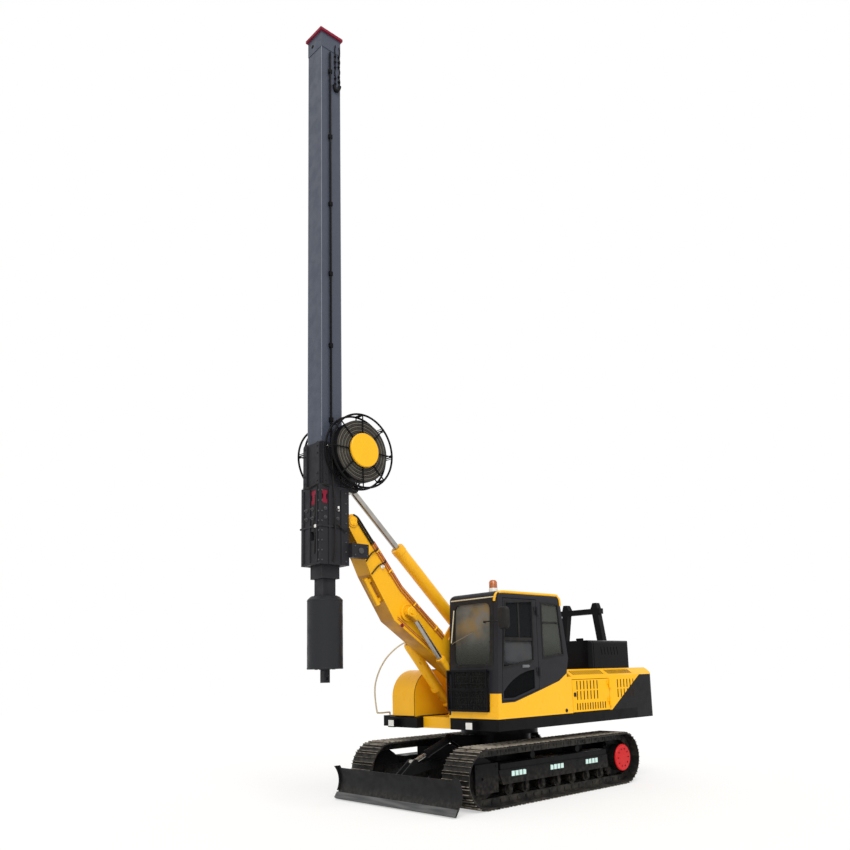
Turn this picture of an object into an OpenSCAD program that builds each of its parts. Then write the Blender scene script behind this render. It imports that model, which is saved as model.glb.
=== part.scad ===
// Rotary piling rig on an excavator base.
// Millimetres. +X is the front, +Y the cab side, +Z up.
// The origin lies on the ground under the slewing axis.

/* [Undercarriage] */
// Distance between the centre lines of the two tracks
track_gauge = 1980; // [1960:10:2080]
// Width of a track shoe
shoe_w = 500; // [470:10:520]
// Distance from the sprocket axle to the idler axle
wheelbase = 3160; // [3100:10:3260]
// Height of a track loop over its grouser tips
track_h = 800; // [790:2:820]
// Number of shoes in one track
shoe_count = 50; // [46:1:54]
// Height of a grouser bar over its shoe plate
grouser_h = 25; // [18:1:30]
// Thickness of a shoe plate
shoe_t = 12; // [10:1:14]
// Depth of a chain rail under the shoe plate
rail_h = 93; // [85:1:95]
// Width of one chain rail
rail_w = 40; // [30:1:44]
// Number of teeth on a sprocket
sprocket_teeth = 21; // [17:2:25]
// Number of bottom rollers under each track frame
roller_count = 7; // [5:1:8]
// Width of a track frame beam
beam_w = 290; // [270:5:300]
// Radius of the final drive cover
drive_cover_r = 205; // [180:5:220]

/* [Slewing upper structure] */
// Height of the underside of the deck
deck_low_z = 1000; // [980:5:1040]
// Thickness of the deck
deck_h = 160; // [140:5:180]
// Overall width of the upper structure
upper_w = 2530; // [2500:10:2600]
// Distance from the slewing axis to the rear face
tail_x = 2490; // [2450:10:2560]
// Length of the counterweight
counterweight_l = 530; // [480:10:560]
// Height of the shoulder of the side panels
shoulder_z = 1690; // [1660:5:1720]
// Height of the engine deck behind the cab
engine_deck_z = 1800; // [1780:5:1830]
// Height of the engine hood
hood_top_z = 2250; // [2200:10:2300]
// Height of the horns of the mast cradle
cradle_top_z = 2950; // [2900:10:3000]

/* [Cab] */
// Front face of the cab at its foot
cab_front_x = 1380; // [1370:5:1420]
// How far the windscreen leans back up to the roof
cab_lean = 80; // [60:5:100]
// Height of the cab roof
cab_top_z = 2910; // [2880:10:2960]
// Inner side of the cab
cab_inner_y = 310; // [305:5:320]
// Thickness of the cab panels
panel_t = 40; // [34:2:46]

/* [Boom] */
// Width of the boom box
boom_w = 300; // [280:5:305]
// Radius of the boom foot
foot_r = 130; // [120:5:140]
// Radius of the boom head
head_r = 100; // [95:1:104]
// Outer radius of a boom cylinder barrel
boom_barrel_r = 65; // [58:1:68]
// Radius of a boom cylinder rod
boom_rod_r = 38; // [32:1:42]
// Outer radius of the tilt cylinder barrel
tilt_barrel_r = 95; // [85:1:100]
// Radius of the tilt cylinder rod
tilt_rod_r = 45; // [38:1:48]

/* [Mast] */
// Distance from the slewing axis to the mast axis
mast_x = 3310; // [3305:1:3320]
// Width of the square mast tube
mast_w = 330; // [320:2:340]
// Wall of the mast tube
mast_wall = 12; // [10:1:14]
// Width of the first inner arm
arm_1_w = 276; // [270:2:280]
// Width of the second inner arm
arm_2_w = 200; // [190:2:210]
// Length of one inner arm
arm_l = 7500; // [7200:50:7600]
// Height of the mast tube over the first inner arm
mast_headroom = 635; // [500:5:800]
// Radius of the rotary drive head
drive_r = 235; // [225:1:240]
// Height of the rotary drive head
drive_h = 945; // [900:5:980]
// Width of the square drive stub
stub_w = 90; // [80:2:100]
// Radius of the cross-pin hole in the drive stub
stub_hole_r = 20; // [16:1:22]
// Outer radius of a hose reel
reel_r = 525; // [500:5:540]

/* [Blade] */
// Width of the dozer blade
blade_w = 2530; // [2480:10:2560]
// Height of the top edge of the blade
blade_top_z = 450; // [430:5:480]
// Radius of the hollow front of the blade
blade_r = 330; // [320:5:360]

/* [Hidden] */

$fn = 64;

// Clearances: a pin in its bore, two faces that slide past each other, and two panels that part
fit = 0.05;
slip = 0.3;
panel_gap = 8;

yellow = [0.98, 0.70, 0.05];
black = [0.07, 0.07, 0.08];
slate = [0.20, 0.22, 0.25];
dark_grey = [0.16, 0.16, 0.18];
red = [0.75, 0.08, 0.10];
steel = [0.62, 0.62, 0.62];
cream = [0.88, 0.85, 0.74];
amber = [0.90, 0.45, 0.08];
tint = [0.35, 0.42, 0.42, 0.5];

// Track loop, in its own frame centred between the axles
axle_x = wheelbase / 2;
loop_r = track_h / 2;
plate_r = loop_r - grouser_h;
band_r = plate_r - shoe_t;
rail_r = band_r - rail_h;
track_y = track_gauge / 2;
rail_y = 85;
rail_seat = 4;
arc_l = PI * plate_r;
loop_l = 2 * wheelbase + 2 * arc_l;
shoe_pitch = loop_l / shoe_count;
shoe_notch = 6;
// Columns: place along one shoe as a share of its pitch, height over the plate
shoe_profile = [
    [0, -shoe_notch], [0.06, 0], [0.10, grouser_h], [0.16, 0], [0.46, 0], [0.50, grouser_h],
    [0.54, 0], [0.84, 0], [0.90, grouser_h], [0.94, 0]
];
shoe_outline = [
    for (i = [0:shoe_count - 1], p = shoe_profile) loop_point((i + p.x) * shoe_pitch, p.y)
];

// Sprocket, idler and rollers
sprocket_w = 60;
sprocket_tip_r = band_r - 33;
sprocket_root_r = sprocket_tip_r - 42;
drive_hub_l = 146;
drive_cover_t = 24;
idler_r = rail_r - slip;
idler_half_w = 110;
idler_flange_r = idler_r + 20;
idler_flange_half_w = rail_y - rail_w / 2 - 15;
idler_shaft_r = 40;
roller_r = 80;
roller_core_r = 62;
roller_half_w = 112;
roller_core_half_w = 50;
roller_shaft_r = 25;
roller_z = loop_r - rail_r + roller_r + slip;
roller_reach = 1050;
roller_pitch = 2 * roller_reach / (roller_count - 1);
carrier_r = 50;
carrier_z = loop_r + rail_r - carrier_r - slip;
carrier_x = 520;
carrier_post_t = 25;

// Track frame
beam_low_z = 300;
beam_top_z = 560;
beam_rear_x = -axle_x + sprocket_tip_r + 50;
beam_front_x = axle_x - idler_flange_r - 50;
bracket_t = 30;
bracket_in = beam_w / 2 - bracket_t;
yoke_half_h = 60;
motor_r = 140;
motor_plate_r = 200;
motor_out = 230;
guard_t = 20;
strip_low_z = 290;
strip_top_z = 480;
idler_guard_back = 270;
idler_guard_front = 170;
idler_guard_half_h = 190;

// Car body
ring_low_z = 860;
ring_r = 600;
drum_r = 480;
drum_low_z = 420;
leg_low_z = 440;
leg_top_z = 680;
frame_inner_y = track_y - beam_w / 2;

// Blade and its lift linkage: pivots in the X-Z plane
blade_pivot = [900, 420];
blade_eye_r = 65;
blade_pin_r = 30;
blade_arm_in = 570;
blade_arm_out = 670;
blade_lug_gap = 5;
blade_lug_t = 20;
lift_base = [1060, 850];
lift_barrel_r = 55;
lift_rod_r = 32;
lift_pin_r = 28;
lift_eye_r = 52;
lift_eye_half_w = 40;
blade_plate_t = 25;
blade_box_x = axle_x + loop_r + 90;
blade_mid = [blade_box_x + 80, 270];
lift_eye = [blade_mid.x - 330, 560];
lift_reach = norm(lift_eye - lift_base);
lift_gland = 0.69 * lift_reach;
lift_rod_inner = 0.36 * lift_reach;
blade_centre = [blade_mid.x + blade_r, blade_mid.y];
blade_low_z = 100;
blade_foot = [blade_mid.x + 96, 24];
cheek_t = 20;
cheek_over = 30;
edge_t = 20;

// Upper structure
deck_top_z = deck_low_z + deck_h;
side_y = upper_w / 2;
weight_front_x = -tail_x + counterweight_l;
shoulder_run = 165;
deck_edge_y = side_y - shoulder_run;
centre_half_w = 330;
centre_front_x = 1300;
foot_plate_in = boom_w / 2 + 8;
boom_cyl_y = 228;
boom_eye_half_w = 40;
boss_out = boom_cyl_y - boom_eye_half_w - 5;
foot_plate_out = boss_out;
side_door_rear_x = -1200;
side_door_front_x = -265;
hood_split_x = -1110;
hood_front_x = -1020;
hood_rear_x = -2120;
hood_left_y = 1080;
hood_right_y = -950;
hood_t = 25;
hood_edge_r = 60;
hood_corner_r = 95;
hood_corner_over = 7;
hood_slots = 6;
louver_w = 14;

// Hinges of doors and hood
hinge_r = 20;
hinge_pin_r = 10;
hinge_h = 60;
leaf_l = 60;
leaf_t = 8;

// Boom: pivots and corners in the X-Z plane
foot = [520, 1560];
head = [2960, 3870];
top_bend = [2100, 3000];
top_mid = [2630, 3640];
low_neck = [2770, 3400];
low_mid = [2650, 3160];
low_bend = [2240, 2540];
foot_pin_r = 50;
head_pin_r = 45;
fork_gap_half = 95;
head_boss_r = 82;
fork_out = boom_w / 2 + 15;
fork_slot_r = 160;
boom_base = [880, 1330];
boom_eye = [2010, 2655];
boom_pin_r = 35;
boom_eye_r = 70;
boom_gland = 890;
boss_r = 125;
tilt_base = [850, 2500];
tilt_eye = [2875, 4360];
tilt_gland = 1626;
tilt_pin_r = 40;
tilt_eye_r = 75;
tilt_eye_half_w = 50;
bracket_gap = 5;
tilt_plate_t = 30;

// Mast
housing_low_z = 3240;
housing_top_z = 4300;
housing_half_w = 220;
housing_rear_x = 3070;
housing_front_x = 3540;
sleeve_top_z = 4900;
flange_z = 3735;
rib_t = 22;
rib_h = 14;
rib_top_z = 4255;
housing_rib_x = [3185, 3385];
housing_rib_y = [-170, -20, 145];
// Windows in the front, by Y and Z, and in each side, by X and Z
pad_windows = [[[10, 4040], [115, 4235]], [[8, 3560], [85, 3680]]];
side_pad_window = [[3420, 4050], [3508, 4235]];
side_block = [[2800, 205, 3350], [3080, 300, 3540]];
sleeve_half_w = 200;
sleeve_rear_x = 3110;
sleeve_front_x = 3510;
tube_low_z = 3300;
pad_h = 120;
arm_1_low_z = 3065;
mast_top_z = arm_1_low_z + arm_l + mast_headroom;
arm_1_wall = 12;
drive_top_z = 2830;
arm_2_wall = 16;
drive_low_z = drive_top_z - drive_h;
stub_low_z = 1710;
stub_hole_z = 1765;
journal_r = 60;
journal_l = 200;
cap_h = 40;
cap_over = 32;
lug_half_w = 80;
reel_axle = [2960, 4810];
reel_axle_r = 40;
reel_in = 230;
reel_out = 420;
reel_tube_r = 14;
pack_r = 430;
reel_hub_r = 150;
cover_r = 235;
cover_t = 35;
spoke_count = 8;

// Cab: corners of its side, in the X-Z plane
cab_rear_foot_x = -200;
cab_rear_top_x = -45;
roof_t = 85;
cab_wall_top_z = cab_top_z - roof_t;
door_hinge_x = 490;
// The sill line, from the front corner to the rear pillar
sill = [[cab_front_at(1370), 1370], [1034, 1377], [487, 1516], [43, 1636], [-146, 1743]];
rear_waist = [cab_rear_foot_x, 1967];
// Yellow corner post beside the lower windscreen, and the strip along its foot
post_in_y = side_y - 158;
post_d = 60;
post_top_z = 1500;
strip_front_z = 1250;

// Point at a distance along the track loop and a height over its shoe plates
function loop_point(s, h) =
    let (u = s % loop_l, r = plate_r + h)
    u < wheelbase ? [u - axle_x, r]
    : u < wheelbase + arc_l ? let (a = 90 - (u - wheelbase) / arc_l * 180) [axle_x + r * cos(a), r * sin(a)]
    : u < 2 * wheelbase + arc_l ? [axle_x - (u - wheelbase - arc_l), -r]
    : let (a = 270 - (u - 2 * wheelbase - arc_l) / arc_l * 180) [r * cos(a) - axle_x, r * sin(a)];

// Point just inside a circle where a line from p leaves it, on the side given by +1 or -1
function tangent_point(c, r, p, side) =
    let (d = p - c, seat_r = r * 0.97, toward = atan2(d.y, d.x), spread = acos(seat_r / norm(d)))
    c + seat_r * [cos(toward + side * spread), sin(toward + side * spread)];

// X of the cab's front face at a height
function cab_front_at(z) =
    cab_front_x - cab_lean * (z - deck_top_z) / (cab_top_z - deck_top_z);

// X of the cab's rear face at a height
function cab_rear_at(z) =
    cab_rear_foot_x + (cab_rear_top_x - cab_rear_foot_x) * max(0, z - rear_waist.y) / (cab_top_z - rear_waist.y);

// Shapes used throughout
module both_sides() {
    children();
    mirror([0, 1, 0]) children();
}

module block(low, high) {
    translate(low) cube(high - low);
}

module xz_slab(y0, y1) {
    translate([0, y1, 0]) rotate([90, 0, 0]) linear_extrude(y1 - y0) children();
}

module yz_slab(x0, x1) {
    translate([x0, 0, 0]) rotate([90, 0, 90]) linear_extrude(x1 - x0) children();
}

module y_rod(p, r, y0, y1) {
    translate([p.x, y1, p.y]) rotate([90, 0, 0]) cylinder(r = r, h = y1 - y0);
}

module disc_at(p, r) {
    translate(p) circle(r);
}

module round_rect(low, high, r) {
    translate(low + [r, 0]) square(high - low - [2 * r, 0]);
    translate(low + [0, r]) square(high - low - [0, 2 * r]);
    for (x = [low.x + r, high.x - r], y = [low.y + r, high.y - r]) disc_at([x, y], r);
}

// Places children with their +Z along the line from a to b in the plane y
module along(a, b, y) {
    translate([a.x, y, a.y]) rotate([0, atan2(b.x - a.x, b.y - a.y), 0]) children();
}

module square_tube(w, wall, low_z, high_z) {
    translate([mast_x, 0, low_z]) linear_extrude(high_z - low_z) difference() {
        square(w, center = true);
        square(w - 2 * wall, center = true);
    }
}

// Barrel of a hydraulic cylinder lying along +Z from its eye at the origin
module cylinder_barrel(r, rod_r, pin_r, eye_r, eye_half_w, start, gland) {
    difference() {
        union() {
            rotate([90, 0, 0]) cylinder(r = eye_r, h = 2 * eye_half_w, center = true);
            translate([-eye_r * 0.7, -eye_half_w, 0]) cube([eye_r * 1.4, 2 * eye_half_w, start + 10]);
            translate([0, 0, start]) cylinder(r = r, h = gland - start);
            translate([0, 0, gland - r]) cylinder(r = r + 6, h = r * 0.8);
        }
        rotate([90, 0, 0]) cylinder(r = pin_r + fit, h = 4 * eye_half_w, center = true);
        translate([0, 0, start + 40]) cylinder(r = rod_r + fit, h = gland);
    }
}

// Rod of a hydraulic cylinder, with its eye at distance reach from the barrel's pin
module cylinder_rod(rod_r, pin_r, eye_r, eye_half_w, inner, reach) {
    difference() {
        union() {
            translate([0, 0, inner]) cylinder(r = rod_r, h = reach - inner - pin_r - 8);
            translate([0, 0, reach]) rotate([90, 0, 0]) cylinder(r = eye_r, h = 2 * eye_half_w, center = true);
        }
        translate([0, 0, reach]) rotate([90, 0, 0]) cylinder(r = pin_r, h = 4 * eye_half_w, center = true);
    }
}

// Half of a hinge with its axis on +Z: the panels' face is hinge_r below the axis in Y
module hinge_leaf(dir) {
    translate([dir > 0 ? 0 : -leaf_l, -hinge_r, 0]) cube([leaf_l, leaf_t, hinge_h - slip]);
}

module hinge_fixed(dir) {
    cylinder(r = hinge_r, h = hinge_h - slip);
    cylinder(r = hinge_pin_r, h = 2 * hinge_h);
    hinge_leaf(dir);
}

module hinge_moving(dir) {
    translate([0, 0, hinge_h]) difference() {
        union() {
            cylinder(r = hinge_r, h = hinge_h - slip);
            hinge_leaf(dir);
        }
        translate([0, 0, -1]) cylinder(r = hinge_pin_r + fit, h = hinge_h + 2);
    }
}

// Undercarriage
module obround(r) {
    translate([-axle_x, -r]) square([wheelbase, 2 * r]);
    for (s = [-1, 1]) disc_at([s * axle_x, 0], r);
}

module track() {
    translate([0, track_y, loop_r]) {
        xz_slab(-shoe_w / 2, shoe_w / 2) difference() {
            polygon(shoe_outline);
            obround(band_r);
        }
        for (s = [-1, 1]) xz_slab(s * rail_y - rail_w / 2, s * rail_y + rail_w / 2) difference() {
            obround(band_r + rail_seat);
            obround(rail_r);
        }
    }
}

module track_left() {
    color(black) track();
}

module track_right() {
    color(black) mirror([0, 1, 0]) track();
}

module roller_places() {
    for (i = [0:roller_count - 1]) translate([i * roller_pitch - roller_reach, 0, 0]) children();
}

module track_frames() {
    color(black) both_sides() translate([0, track_y, 0]) {
        block([beam_rear_x, -beam_w / 2, beam_low_z], [beam_front_x, beam_w / 2, beam_top_z]);
        // Idler yoke and the guard plate over it
        for (y = [-beam_w / 2, bracket_in])
            block([beam_front_x - bracket_t, y, loop_r - yoke_half_h],
                [axle_x + yoke_half_h, y + bracket_t, loop_r + yoke_half_h]);
        difference() {
            block([axle_x - idler_guard_back, beam_w / 2, loop_r - idler_guard_half_h],
                [axle_x + idler_guard_front, beam_w / 2 + guard_t, loop_r + idler_guard_half_h]);
            y_rod([axle_x + 40, loop_r], 22, beam_w / 2 - guard_t, beam_w);
        }
        // Outer strip along the beam
        xz_slab(beam_w / 2, beam_w / 2 + guard_t) polygon([
            [beam_rear_x, strip_low_z], [axle_x - idler_guard_back - 90, strip_low_z],
            [axle_x - idler_guard_back - 10, strip_top_z], [beam_rear_x, strip_top_z]
        ]);
        // Final drive motor and its mounting plate
        xz_slab(-beam_w / 2, -bracket_in) {
            disc_at([-axle_x, loop_r], motor_plate_r);
            translate([-axle_x, beam_low_z]) square([axle_x + beam_rear_x + bracket_t, 2 * (loop_r - beam_low_z)]);
        }
        y_rod([-axle_x, loop_r], motor_r, -motor_out, -sprocket_w / 2);
        // Hangers of the bottom rollers
        roller_places() for (y = [-beam_w / 2, bracket_in])
            block([-35, y, roller_z - 45], [35, y + bracket_t, beam_low_z]);
        // Posts of the carrier rollers
        for (x = [-carrier_x, carrier_x])
            block([x - 40, -roller_half_w - 3 - carrier_post_t, beam_top_z - 20],
                [x + 40, -roller_half_w - 3, carrier_z + 40]);
    }
}

module sprocket_outline() {
    tooth = 360 / sprocket_teeth;
    polygon([
        for (i = [0:sprocket_teeth - 1], p = [[-0.30, 0], [-0.14, 1], [0.14, 1], [0.30, 0]])
            let (a = (i + p.x) * tooth, r = p.y > 0 ? sprocket_tip_r : sprocket_root_r) [r * cos(a), r * sin(a)]
    ]);
}

module sprockets() {
    color(black) both_sides() translate([-axle_x, track_y, loop_r]) {
        xz_slab(-sprocket_w / 2, sprocket_w / 2) sprocket_outline();
        // Hub of the final drive
        rotate([-90, 0, 0]) cylinder(r = drive_cover_r - 8, h = sprocket_w / 2 + drive_hub_l);
    }
}

module final_drive_covers() {
    out_y = track_y + sprocket_w / 2 + drive_hub_l;
    color(red) both_sides() translate([-axle_x, out_y, loop_r]) rotate([-90, 0, 0]) rotate_extrude()
        polygon([
            [0, 0], [drive_cover_r, 0], [drive_cover_r, drive_cover_t / 2],
            [drive_cover_r - drive_cover_t / 2, drive_cover_t], [0, drive_cover_t]
        ]);
}

module idlers_and_rollers() {
    color(black) both_sides() translate([0, track_y, 0]) {
        y_rod([axle_x, loop_r], idler_r, -idler_half_w, idler_half_w);
        y_rod([axle_x, loop_r], idler_flange_r, -idler_flange_half_w, idler_flange_half_w);
        y_rod([axle_x, loop_r], idler_shaft_r, -bracket_in, bracket_in);
        roller_places() {
            for (s = [-1, 1])
                y_rod([0, roller_z], roller_r, min(s * roller_core_half_w, s * roller_half_w),
                    max(s * roller_core_half_w, s * roller_half_w));
            y_rod([0, roller_z], roller_core_r, -roller_core_half_w, roller_core_half_w);
            y_rod([0, roller_z], roller_shaft_r, -bracket_in, bracket_in);
        }
        for (x = [-carrier_x, carrier_x]) {
            y_rod([x, carrier_z], carrier_r, -roller_half_w, roller_half_w);
            y_rod([x, carrier_z], roller_shaft_r, -roller_half_w - 3, roller_half_w);
        }
    }
}

module leg_plan() {
    polygon([[120, 400], [420, 160], [980, frame_inner_y], [520, frame_inner_y]]);
}

module car_body() {
    color(black) {
        translate([0, 0, drum_low_z]) cylinder(r = drum_r, h = ring_low_z - drum_low_z);
        for (m = [0, 1], n = [0, 1]) mirror([m, 0, 0]) mirror([0, n, 0])
            translate([0, 0, leg_low_z]) linear_extrude(leg_top_z - leg_low_z) leg_plan();
        // Lugs and pins of the blade arms
        both_sides() {
            for (y = [blade_arm_in - blade_lug_gap - blade_lug_t, blade_arm_out + blade_lug_gap])
                xz_slab(y, y + blade_lug_t) {
                    disc_at(blade_pivot, blade_eye_r);
                    translate(blade_pivot - [260, blade_eye_r]) square([260, 2 * blade_eye_r]);
                }
            y_rod(blade_pivot, blade_pin_r, blade_arm_in - blade_lug_gap - blade_lug_t,
                blade_arm_out + blade_lug_gap + blade_lug_t);
        }
        // Lugs and pin of the blade lift cylinder
        both_sides() xz_slab(lift_eye_half_w + blade_lug_gap, lift_eye_half_w + blade_lug_gap + blade_lug_t) {
            disc_at(lift_base, lift_eye_r);
            polygon([
                [420, 620], [760, 620], tangent_point(lift_base, lift_eye_r, [760, 620], 1),
                tangent_point(lift_base, lift_eye_r, [650, 850], -1), [650, 850], [420, 850]
            ]);
        }
        y_rod(lift_base, lift_pin_r, -lift_eye_half_w - blade_lug_gap - blade_lug_t,
            lift_eye_half_w + blade_lug_gap + blade_lug_t);
    }
}

module slew_ring() {
    color(black) translate([0, 0, ring_low_z]) cylinder(r = ring_r, h = deck_low_z - ring_low_z - slip);
}

// Blade
module blade_section() {
    intersection() {
        difference() {
            disc_at(blade_centre, blade_r + blade_plate_t);
            disc_at(blade_centre, blade_r);
        }
        blade_window();
    }
}

module blade_window() {
    translate([blade_mid.x - 2 * blade_plate_t, blade_low_z]) square([blade_r, blade_top_z - blade_low_z]);
}

module blade_foot_section(front) {
    drop = blade_centre.y - blade_low_z;
    knee = blade_centre - [sqrt(pow(blade_r, 2) - pow(drop, 2)), drop];
    run = (blade_foot - knee) / norm(blade_foot - knee);
    out = [-run.y, run.x];
    start = front ? 0 : -blade_plate_t;
    shift = front ? slip : -blade_plate_t;
    t = front ? edge_t : blade_plate_t;
    polygon([
        knee + run * start + out * shift, blade_foot + out * shift,
        blade_foot + out * (shift + t), knee + run * start + out * (shift + t)
    ]);
}

module dozer_blade() {
    clevis_low = blade_mid + [-60, -60];
    clevis_high = blade_mid + [-30, 130];
    color(black) {
        xz_slab(-blade_w / 2, blade_w / 2) {
            blade_section();
            blade_foot_section(false);
        }
        // Stiffening box across the back
        block([blade_box_x, -blade_w / 2 + 150, 200], [blade_mid.x - 5, blade_w / 2 - 150, 340]);
        both_sides() {
            difference() {
                xz_slab(blade_arm_in, blade_arm_out) {
                    disc_at(blade_pivot, blade_eye_r);
                    polygon([
                        blade_pivot + [0, -blade_eye_r], [blade_box_x + 5, 205], [blade_box_x + 5, 335],
                        blade_pivot + [0, blade_eye_r]
                    ]);
                }
                y_rod(blade_pivot, blade_pin_r + fit, blade_arm_in - 10, blade_arm_out + 10);
            }
            // Gussets over the arms
            xz_slab(blade_arm_in + 40, blade_arm_in + 60) polygon([
                [blade_mid.x - 400, 280], [blade_mid.x - 40, 250], [blade_mid.x - 40, 430],
                [blade_mid.x - 70, 450]
            ]);
            // Cheek plate at each end, with its horn over the top edge
            xz_slab(blade_w / 2 - cheek_t, blade_w / 2) intersection() {
                difference() {
                    disc_at(blade_centre, blade_r + 2 * blade_plate_t);
                    disc_at(blade_centre, blade_r - cheek_over);
                }
                translate([0, cheek_over]) blade_window();
            }
            // Clevis of the lift rod
            xz_slab(lift_eye_half_w + blade_lug_gap, lift_eye_half_w + blade_lug_gap + blade_lug_t) {
                disc_at(lift_eye, lift_eye_r);
                polygon([
                    tangent_point(lift_eye, lift_eye_r, clevis_low, -1), clevis_low, clevis_high,
                    tangent_point(lift_eye, lift_eye_r, clevis_high, 1)
                ]);
            }
        }
    }
}

module blade_cutting_edge() {
    color(slate) xz_slab(-blade_w / 2, blade_w / 2) blade_foot_section(true);
}

module blade_barrel() {
    color(black) along(lift_base, lift_eye, 0)
        cylinder_barrel(lift_barrel_r, lift_rod_r, lift_pin_r, lift_eye_r, lift_eye_half_w, 62, lift_gland);
}

module blade_rod() {
    color(steel) along(lift_base, lift_eye, 0)
        cylinder_rod(lift_rod_r, lift_pin_r, lift_eye_r * 0.9, lift_eye_half_w, lift_rod_inner, lift_reach);
}

// Upper structure
module main_frame() {
    color(yellow) {
        block([weight_front_x, -centre_half_w, deck_low_z], [centre_front_x, centre_half_w, deck_top_z]);
        both_sides() {
            // Plate that carries the boom foot and the boom cylinder
            xz_slab(foot_plate_in, foot_plate_out) {
                disc_at(foot, foot_r);
                disc_at(boom_base, boom_eye_r);
                polygon([
                    [-100, deck_top_z - 5], [950, deck_top_z - 5],
                    tangent_point(boom_base, boom_eye_r, [950, deck_top_z - 5], -1),
                    boom_base + boom_eye_r * [cos(65), sin(65)],
                    tangent_point(foot, foot_r, boom_base + boom_eye_r * [cos(65), sin(65)], 1),
                    tangent_point(foot, foot_r, [-100, deck_top_z - 5], -1)
                ]);
            }
            y_rod(boom_base, boom_pin_r, foot_plate_in, boom_cyl_y + boom_eye_half_w + 5);
        }
        y_rod(foot, foot_pin_r, -foot_plate_out, foot_plate_out);
    }
}

module side_decks() {
    color(black) {
        block([weight_front_x, centre_half_w, deck_low_z], [cab_front_x, side_y, deck_top_z]);
        block([weight_front_x, -side_y, deck_low_z], [centre_front_x, -centre_half_w, deck_top_z]);
        block([centre_front_x, -side_y + 280, deck_low_z], [centre_front_x + 130, -centre_half_w, deck_top_z - 10]);
    }
}

module body_section() {
    polygon([
        [-side_y, deck_low_z], [side_y, deck_low_z], [side_y, shoulder_z], [deck_edge_y, engine_deck_z],
        [-deck_edge_y, engine_deck_z], [-side_y, shoulder_z]
    ]);
}

module counterweight() {
    corner_r = 120;
    color(black) intersection() {
        yz_slab(-tail_x, weight_front_x) body_section();
        translate([0, 0, deck_low_z]) linear_extrude(engine_deck_z - deck_low_z)
            translate([-tail_x, -side_y]) {
                translate([corner_r, 0]) square([counterweight_l - corner_r, upper_w]);
                translate([0, corner_r]) square([corner_r, upper_w - 2 * corner_r]);
                for (y = [corner_r, upper_w - corner_r]) disc_at([corner_r, y], corner_r);
            }
    }
}

module engine_block() {
    rear_x = -1850;
    front_x = -700;
    half_w = 300;
    cover_half_w = 130;
    sump_z = deck_top_z + 330;
    top_z = shoulder_z - 10;
    color(dark_grey) {
        block([rear_x, -half_w, deck_top_z], [front_x, half_w, sump_z]);
        block([rear_x + 80, -half_w + 60, sump_z], [front_x - 150, half_w - 60, top_z - 110]);
        block([rear_x + 140, -cover_half_w, top_z - 110], [front_x - 220, cover_half_w, top_z]);
        // Air filter beside the cylinder head
        translate([rear_x + 200, -half_w - 30, sump_z + 70]) rotate([0, 90, 0]) cylinder(r = 105, h = 480);
    }
}

module louver_row(x0, x1, z0, z1, count) {
    pitch = (x1 - x0) / (count - 1);
    for (i = [0:count - 1]) translate([x0 + i * pitch - louver_w / 2, z0]) square([louver_w, z1 - z0]);
}

module engine_housing() {
    wall_y = side_y - panel_t;
    front_x = side_door_front_x + panel_gap;
    color(yellow) {
        // Shoulders and top deck
        difference() {
            yz_slab(weight_front_x, front_x) difference() {
                intersection() {
                    body_section();
                    translate([-side_y, shoulder_z - panel_t]) square([upper_w, engine_deck_z]);
                }
                polygon([
                    [-side_y + panel_t, 0], [side_y - panel_t, 0], [side_y - panel_t, shoulder_z - 20],
                    [deck_edge_y - 10, engine_deck_z - panel_t], [-deck_edge_y + 10, engine_deck_z - panel_t],
                    [-side_y + panel_t, shoulder_z - 20]
                ]);
            }
            // Opening over the engine, under the hood
            block([hood_rear_x, hood_right_y + 60, engine_deck_z - 2 * panel_t],
                [hood_front_x - 60, hood_left_y - 60, engine_deck_z + 10]);
            // Slots along the shoulders
            both_sides() for (row = [[-1118, -369], [-1900, -1275]])
                xz_slab(deck_edge_y + 40, side_y - 40)
                    louver_row(row[0], row[1], shoulder_z - 20, engine_deck_z + 10, 14);
        }
        // Fixed rear side panels with their slots
        both_sides() xz_slab(wall_y, side_y) difference() {
            translate([weight_front_x, deck_top_z])
                square([side_door_rear_x - panel_gap - weight_front_x, shoulder_z - panel_t - deck_top_z]);
            louver_row(-1880, -1440, 1500, 1620, 6);
            louver_row(-1880, -1440, 1350, 1470, 6);
        }
        // Fixed halves of the side door hinges
        both_sides() for (z = side_hinge_z) translate([side_door_rear_x, side_y + hinge_r, z]) hinge_fixed(-1);
        // Front bulkhead
        yz_slab(front_x - panel_t, front_x) polygon([
            [-wall_y, deck_top_z], [wall_y, deck_top_z], [wall_y, shoulder_z - 10],
            [deck_edge_y - 10, engine_deck_z - 10], [-deck_edge_y + 10, engine_deck_z - 10], [-wall_y, shoulder_z - 10]
        ]);
    }
}

module hood_shell(x0, x1) {
    over = [hood_corner_over, hood_corner_over];
    difference() {
        intersection() {
            yz_slab(x0, x1) {
                round_rect([hood_right_y, engine_deck_z + slip], [hood_left_y, hood_top_z], hood_edge_r);
                translate([hood_right_y, engine_deck_z + slip])
                    square([hood_left_y - hood_right_y, 2 * hood_edge_r]);
            }
            translate([0, 0, engine_deck_z]) linear_extrude(hood_top_z)
                round_rect([hood_rear_x, hood_right_y] - over, [hood_front_x, hood_left_y] + over, hood_corner_r);
        }
        block([x0 + hood_t, hood_right_y + hood_t, engine_deck_z - 1],
            [x1 - hood_t, hood_left_y - hood_t, hood_top_z - hood_edge_r]);
    }
}

module hood_hinges() {
    for (y = [hood_right_y + 300, hood_left_y - 200])
        translate([hood_split_x, y, hood_top_z + hinge_r]) rotate([90, 0, 0]) children();
}

module hood_front() {
    color(black) {
        hood_shell(hood_split_x + 6, hood_front_x);
        hood_hinges() hinge_fixed(1);
    }
}

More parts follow.
